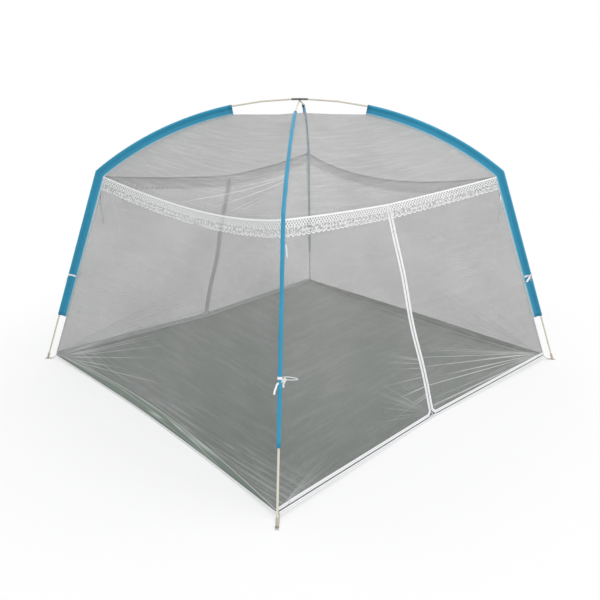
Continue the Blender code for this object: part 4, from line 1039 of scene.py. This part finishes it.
def make_lace(wall, lace, tape):
    """A lace valance with scallops and small ruffles, and the folded tape that holds its top."""
    share = np.linspace(0.004, 0.996, SCALLOP_COUNT * SCALLOP_COLUMNS + 1)
    top = wall.lace(share)
    down, outward = hanging_way(wall, share)
    cell = (np.arange(len(share)) / SCALLOP_COLUMNS) % 1.0
    depth = LACE_DEPTH - SCALLOP_DEPTH / 2 + SCALLOP_DEPTH * np.sin(math.pi * cell)
    rows, drops = [], []
    ruffle = ripple(top, 26.0, FOLD_SEED + 4) + 0.6 * np.sin(np.arange(len(share)) * 0.9)
    for part in np.linspace(0, 1, 9):
        stand = LACE_STANDOFF + LACE_RUFFLE * part * ruffle
        rows.append(top + down * (depth * part)[:, None] + outward * stand[:, None])
        drops.append(depth * part)
    points, v = np.stack(rows), np.stack(drops)
    u = np.repeat((share * wall.width)[None, :], len(rows), axis=0)
    scallop = pairs(np.repeat(cell[None, :], len(rows), axis=0), v / depth)
    obj = grid_mesh("lace_" + wall.name, points, lace, {"Weave": pairs(u, v), "Scallop": scallop})
    sheet_area(points)
    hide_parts("lace_valance_" + wall.name)
    share = np.linspace(0.0, 1.0, 121)
    down, outward = hanging_way(wall, share)
    middle = wall.lace(share) + down * (BINDING_WIDTH / 2 - 0.001) + outward * (LACE_STANDOFF + 0.001)
    band("lace_binding_" + wall.name, middle, down, BINDING_WIDTH, BINDING_THICKNESS, tape)


def sleeve_outline():
    """Half profiles of a sleeve: the web's face, the throat, then round the pole."""
    half_web = WEB_THICKNESS / 2
    web = [(n, half_web) for n in np.linspace(WEB_WIDTH, SLEEVE_THROAT, 6)]
    arc = [(SLEEVE_RADIUS * math.cos(a), SLEEVE_RADIUS * math.sin(a))
           for a in np.linspace(math.radians(50), math.pi, 9)]
    half = web + arc
    return np.array(half + [(n, -b) for n, b in reversed(half[:-1])])


def make_sleeve(corner, material):
    outline = sleeve_outline()
    distance = np.concatenate([np.linspace(corner.sleeve_start, -BEND_REACH, 90)[:-1],
                               np.linspace(-BEND_REACH, BEND_REACH, 9)[:-1],
                               np.linspace(BEND_REACH, corner.sleeve_end, 110)])
    axis, inward = corner.axis(distance), corner.inward(distance)
    straight = np.where(column(distance) < 0, corner.leg_point(column(distance)),
                        corner.roof_point(column(distance)))
    outer = fade(SLEEVE_THROAT - outline[:, 0], SLEEVE_THROAT)[None, :, None]
    points = (mix(axis[:, None], straight[:, None], outer) + inward[:, None] * outline[None, :, :1]
              + corner.side * outline[None, :, 1:])
    folds = sum(ripple(points, scale, FOLD_SEED + step) * height
                for scale, height, step in SLEEVE_FOLDS)
    round_pole = np.where(outline[:, 0] > SLEEVE_THROAT * 1.2, 0.55, 1.0)[None, :]
    outside = corner.side * np.sign(outline[None, :, 1:])
    outside = outside * np.clip(abs(outline[None, :, 1:]) / 0.003, 0.2, 1)
    points = points + outside * (np.maximum(folds, -SLEEVE_CLOTH) * round_pole)[..., None]
    around = lengths(outline)
    v, u = np.meshgrid(around, distance - distance[0])
    hem = np.minimum(u, u.max() - u)
    uvs = {"Weave": pairs(u, v), "Hem": pairs(hem, v)}
    obj = grid_mesh("sleeve_cloth_" + corner.name, points, material, uvs, closed=True)
    thick = obj.modifiers.new("cloth", "SOLIDIFY")
    thick.thickness = SLEEVE_CLOTH
    thick.offset = 1.0
    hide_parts("sleeve_" + corner.name)


def make_corner_seam(corner, tape):
    """White tape over the corner seam of the nets, from the floor to the end of the sleeve."""
    foot = (corner.seam_at_height(NET_CORNER_RISE) - corner.seam(-SHOULDER_HEIGHT)[0]) @ corner.leg
    low = np.linspace(foot - SHOULDER_HEIGHT, -BEND_REACH, 60)[:-1]
    distance = np.concatenate([low, np.linspace(-BEND_REACH, corner.sleeve_end, 90)])
    middle = corner.seam(distance, SEAM_TAPE_WIDTH / 2 - 0.0005)
    band("corner_seam_" + corner.name, middle, corner.inward(distance), SEAM_TAPE_WIDTH,
         SEAM_TAPE_THICKNESS, tape)


def make_groundsheet(walls, material, tape, seam):
    """The groundsheet with its turned-up sides, low wrinkles and lifted corners."""
    left_wall, right_wall = walls["left"], walls["right"]
    cells = 120
    shares = np.linspace(0, 1, cells + 1)
    side_rows = np.linspace(1, 0, 7)[:-1]
    front_y, back_y = walls["front"].floor(shares)[:, 1], walls["back"].floor(1 - shares)[:, 1]
    rows = []
    for v in shares:
        a, b = abs(2 * shares - 1), abs(2 * v - 1)
        x = mix(left_wall.floor(1 - v)[0, 0], right_wall.floor(v)[0, 0], shares)
        y = mix(front_y, back_y, v)
        lift = np.maximum(a * b ** LIFT_REACH_POWER, b ** LIFT_EDGE_POWER * a ** LIFT_REACH_POWER)
        row = np.stack([x, y, CORNER_LIFT * lift], axis=1)
        side = left_wall.side_share(v)
        left = np.concatenate([left_wall.surface(1 - v, rise * side) for rise in side_rows])
        right = np.concatenate([right_wall.surface(v, rise * side) for rise in reversed(side_rows)])
        rows.append(np.concatenate([left, row, right]))
    points = np.stack(rows)
    u = lengths(points, axis=1)
    v = np.repeat(shares[:, None] * FLOOR_WIDTH, u.shape[1], axis=1)
    flat_part = slice(len(side_rows), len(side_rows) + cells + 1)
    floor = points[:, flat_part]
    inner = fade(HALF_LENGTH - abs(floor[..., 0]), 0.10) * fade(HALF_WIDTH - abs(floor[..., 1]), 0.10)
    swell = np.abs(ripple(floor, 5.0, FOLD_SEED)) + 0.7 * np.abs(ripple(floor, 11.0, FOLD_SEED + 6))
    floor[..., 2] += FLOOR_LIFT + FLOOR_SWELL * inner * np.maximum(0.55 - 1.6 * swell, 0)
    centres = [(x, y, 1.0 if (x > 0) != (y > 0) else 0.35)
               for x in (0, u.max()) for y in (0, FLOOR_WIDTH)]
    uvs = {"Weave": pairs(u, v), **fan_layers(u, v, centres)}
    obj = grid_mesh("floor_cloth", points, material, uvs)
    sheet_area(points)
    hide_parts("groundsheet")
    for wall in (left_wall, right_wall):
        share = np.linspace(0.0, 1.0, 101)
        rises = wall.side_share(share), FLOOR_EDGE_HEIGHT / wall.height() + 0 * share
        for (name, width), rise, cloth in zip(FLOOR_TAPES, rises, (seam, tape)):
            middle = wall.surface(share, rise) + wall.outward * FLOOR_LIFT
            band(name + wall.name, middle, UP, width, FLOOR_TAPE_THICKNESS, cloth)


def make_tab(corner, strap, steel):
    """A webbing tab from a corner of the floor to the foot of the pole, and its eyelet."""
    sewn = float(corner.seam_at_height(CORNER_LIFT) @ corner.out) - 0.012
    path = [corner.out * (sewn + x) + UP * z for x, z in
            ((0, CORNER_LIFT + 0.003), (0.012, CORNER_LIFT + 0.001), (0.025, 0.007), (0.036, 0.0019),
             (corner.foot_reach - sewn, TAB_HEIGHT), (corner.foot_reach - sewn + 0.013, TAB_HEIGHT))]
    middle = on_path(path, spots_along(path, 0.004))
    obj = band("tab_" + corner.name, middle, corner.side, TAB_WIDTH, TAB_THICKNESS, strap)
    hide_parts("corner_tab_" + corner.name)
    centre = corner.out * corner.foot_reach + UP * TAB_HEIGHT
    points = [centre + np.array([r * x, r * y, z])
              for r, z in EYELET_PROFILE for x, y in circle(EYELET_SIDES)]
    faces = [[i % len(points) for i in face]
             for face in grid_faces(len(EYELET_PROFILE) + 1, EYELET_SIDES, closed=True)]
    ring = make_mesh("eyelet_" + corner.name, points, faces, steel)


def knot_line(centre, up, across, through, count):
    """Points of a small knot: two turns round a centre, which also weave through it."""
    turns = np.linspace(0, 4 * math.pi, count)[:, None]
    return centre + up * np.sin(turns) + across * np.cos(turns) + through * np.sin(2 * turns)


def make_tie(corner, tape):
    """A white tape tied round the sleeve: band, knot, two tails and a bow."""
    centre = corner.axis((TIE_HEIGHT - SHOULDER_HEIGHT) / math.cos(LEG_LEAN))[0]
    inward = corner.inward(-0.5)[0]
    aside = corner.side * corner.door_side
    turns = np.linspace(math.radians(40), math.radians(320), 22)
    round_pole = [(TIE_LOOP_RADIUS * math.cos(a), TIE_LOOP_RADIUS * math.sin(a)) for a in turns]
    loop = [*TIE_LOOP_ENDS, *round_pole, *((n, -b) for n, b in reversed(TIE_LOOP_ENDS))]
    middle = np.array([centre + inward * n + corner.side * b for n, b in loop])
    obj = band("tie_band_" + corner.name, middle, corner.leg, 0.010, TIE_THICKNESS, tape)
    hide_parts("sleeve_tie_" + corner.name)
    knot = centre + aside * 0.0142
    turns = knot_line(knot, corner.leg * 0.0052, corner.out * 0.0052, aside * 0.0034, 49)
    band("tie_knot_" + corner.name, turns, aside, 0.0055, 0.0014, tape)
    for number, (swing, drop, over, bulge) in enumerate(TIE_TAILS):
        share = np.linspace(0, 1, 19)[:, None]
        out = swing * share ** 2 + 0.0012 + bulge * np.sin(math.pi * np.minimum(2 * share, 1) / 2)
        sway = 0.0015 + over * fade(share, 0.4) + 0.004 * np.sin(5 * share + number)
        tail = knot - UP * drop * share + corner.out * out + aside * sway
        name = "tie_tail_%d_%s" % (number, corner.name)
        band(name, tail, corner.side, TIE_WIDTH, TIE_THICKNESS, tape)
    away = unit(aside * 0.8 - corner.out * 0.6)
    turns = np.linspace(0, math.pi, 29)[:, None]
    bow = knot + away * 0.060 * np.sin(turns) + UP * (0.006 * np.cos(turns) - 0.020 * np.sin(turns))
    band("tie_bow_" + corner.name, bow, np.cross(away, UP), TIE_WIDTH, TIE_THICKNESS, tape)


def make_tie_back(corner, wall, tape):
    """A narrow tape that hangs at the shoulder, to hold a rolled-up flap, with its knot."""
    top = corner.seam(-TIE_BACK_DROP)[0] + wall.outward * 0.008 - corner.out * 0.010
    share = np.linspace(0, 1, 25)[:, None]
    hang = top - UP * TIE_BACK_LENGTH * share + wall.outward * (0.003 + 0.005 * share)
    hang = hang + wall.along * 0.004 * np.sin(5 * share)
    band("tie_back_" + corner.name, hang, wall.along, 0.006, TIE_THICKNESS, tape)
    knot = knot_line(top, UP * 0.004, wall.along * 0.005, wall.outward * 0.002, 33)
    band("tie_back_knot_" + corner.name, knot, wall.outward, 0.005, 0.0012, tape)


def dress_frame(materials):
    """Give every CAD node that stays in view the material of its slot."""
    for part in frame["record"]["subparts"]:
        material = materials.get(part["material_slot"])
        node = frame["nodes"][part["node"]]
        if material is None:
            continue
        node.data.materials.clear()
        node.data.materials.append(material)
        node.data.shade_smooth()
        sharp = node.modifiers.new("edges", "EDGE_SPLIT")
        sharp.split_angle = math.radians(35)


def make_stage():
    """A wide pale floor that fades into a white backdrop, and a plain bright world."""
    t = material_tree("studio_floor")
    centre = t.out("Value", "ShaderNodeVectorMath", {0: t.position()}, operation="LENGTH")
    grain = t.noise(t.position(), 14.0, 3.0)
    t.set(Base_Color=t.blend(grain, (0.80, 0.80, 0.80), (0.83, 0.83, 0.83)), Roughness=0.7)
    t.bump(grain, 0.05, 0.002)
    far = t.ramp(centre, 1.2, 2.3, 0.62, 1.0)
    t.show_white(t.shader.outputs[0], far * t.seen(), "ShaderNodeEmission")
    rings = [[(r * x, r * y, 0.0) for x, y in circle(STAGE_SIDES)] for r in np.linspace(*STAGE_RINGS)]
    points = [point for ring in rings for point in ring]
    faces = grid_faces(len(rings), STAGE_SIDES, closed=True) + [tuple(range(STAGE_SIDES))]
    floor = make_mesh("studio_floor", points, faces, t.owner, body=None)
    floor.location.z = -0.0004
    world = bpy.data.worlds.new("studio")
    bpy.context.scene.world = world
    t = Tree(world)
    light = t.tree.nodes["Background"]
    light.inputs["Color"].default_value = (0.98, 0.99, 1.0, 1.0)
    light.inputs["Strength"].default_value = 0.80
    t.show_white(light.outputs[0], t.seen(), "ShaderNodeBackground")


def aim(obj, place, way):
    obj.location = place
    obj.rotation_euler = way.to_track_quat("-Z", "Y").to_euler()


def make_lamp(name, place, size, power, color):
    data = bpy.data.lights.new(name, "AREA")
    data.size = size
    data.energy = power
    data.color = color
    aim(add_object(name, data), place, Vector(LAMP_TARGET) - Vector(place))


def make_camera():
    data = bpy.data.cameras.new("camera")
    data.lens = CAMERA_LENS
    data.sensor_width = 36.0
    data.clip_start = 0.01
    data.clip_end = 100
    camera = add_object("camera", data)
    level = math.cos(CAMERA_PITCH)
    way = Vector((math.sin(CAMERA_YAW) * level, math.cos(CAMERA_YAW) * level, -math.sin(CAMERA_PITCH)))
    aim(camera, CAMERA_PLACE, way)
    bpy.context.scene.camera = camera


def main():
    corners = {name: Corner(name) for name in CORNERS}
    walls = {name: Wall(name, corners[a], corners[b]) for name, (a, b) in WALLS.items()}
    net = net_material("net_wall", WALL_FANS, 0.10)
    door_net = net_material("net_door", DOOR_FANS, 0.10)
    roof_net = net_material("net_roof", ROOF_FANS, 0.22)
    lace = lace_material()
    tape = tape_material("white_tape", (0.86, 0.86, 0.86), (0.78, 0.78, 0.77))
    zip_tape = tape_material("zip_tape", (0.87, 0.87, 0.88), (0.79, 0.79, 0.80), (0.0075,), 0.0011)
    strap = tape_material("strap", (0.66, 0.63, 0.58), (0.46, 0.43, 0.38), (0.0025, 0.0125))
    coil = plain_material("coil", (0.20, 0.205, 0.21), (0.30, 0.305, 0.31), 0.4, 900.0)
    steel = metal_material("steel", (0.13, 0.135, 0.14), (0.24, 0.245, 0.25), 0.85, 0.28)
    paint = metal_material("slider_paint", (0.66, 0.67, 0.69), (0.78, 0.79, 0.80), 0.35, 0.32)
    braid = plain_material("cord_braid", (0.05, 0.05, 0.06), (0.14, 0.14, 0.15), 0.8, 700.0)
    cap = plain_material("cap", (0.36, 0.31, 0.23), (0.56, 0.50, 0.40), 0.45, 160.0)
    dress_frame({"pole_fibreglass": pole_material(), "ferrule_steel": steel, "slider_metal": paint,
                 "cord_rubber": braid, "cap_plastic": cap})
    seam = tape_material("floor_seam", (0.52, 0.54, 0.52), (0.40, 0.43, 0.40))
    make_groundsheet(walls, floor_material(), tape, seam)
    make_roof_net(walls, corners, roof_net)
    for wall in walls.values():
        make_lace(wall, lace, tape)
        if wall.door:
            for half in wall.halves:
                make_door_net(half, door_net)
                make_tie_back(half.corner, wall, tape)
            make_zips(wall, zip_tape, coil)
        else:
            make_plain_net(wall, net)
    outline = sleeve_outline()
    around = float(lengths(np.concatenate([outline, outline[:1]]))[-1])
    blue = sleeve_material(WEB_WIDTH - SLEEVE_THROAT, around)
    for corner in corners.values():
        make_sleeve(corner, blue)
        make_corner_seam(corner, tape)
        make_tab(corner, strap, steel)
        make_tie(corner, tape)
    make_stage()
    for lamp in LAMPS:
        make_lamp(*lamp)
    make_camera()
    bpy.context.scene.view_settings.view_transform = "Standard"


main()
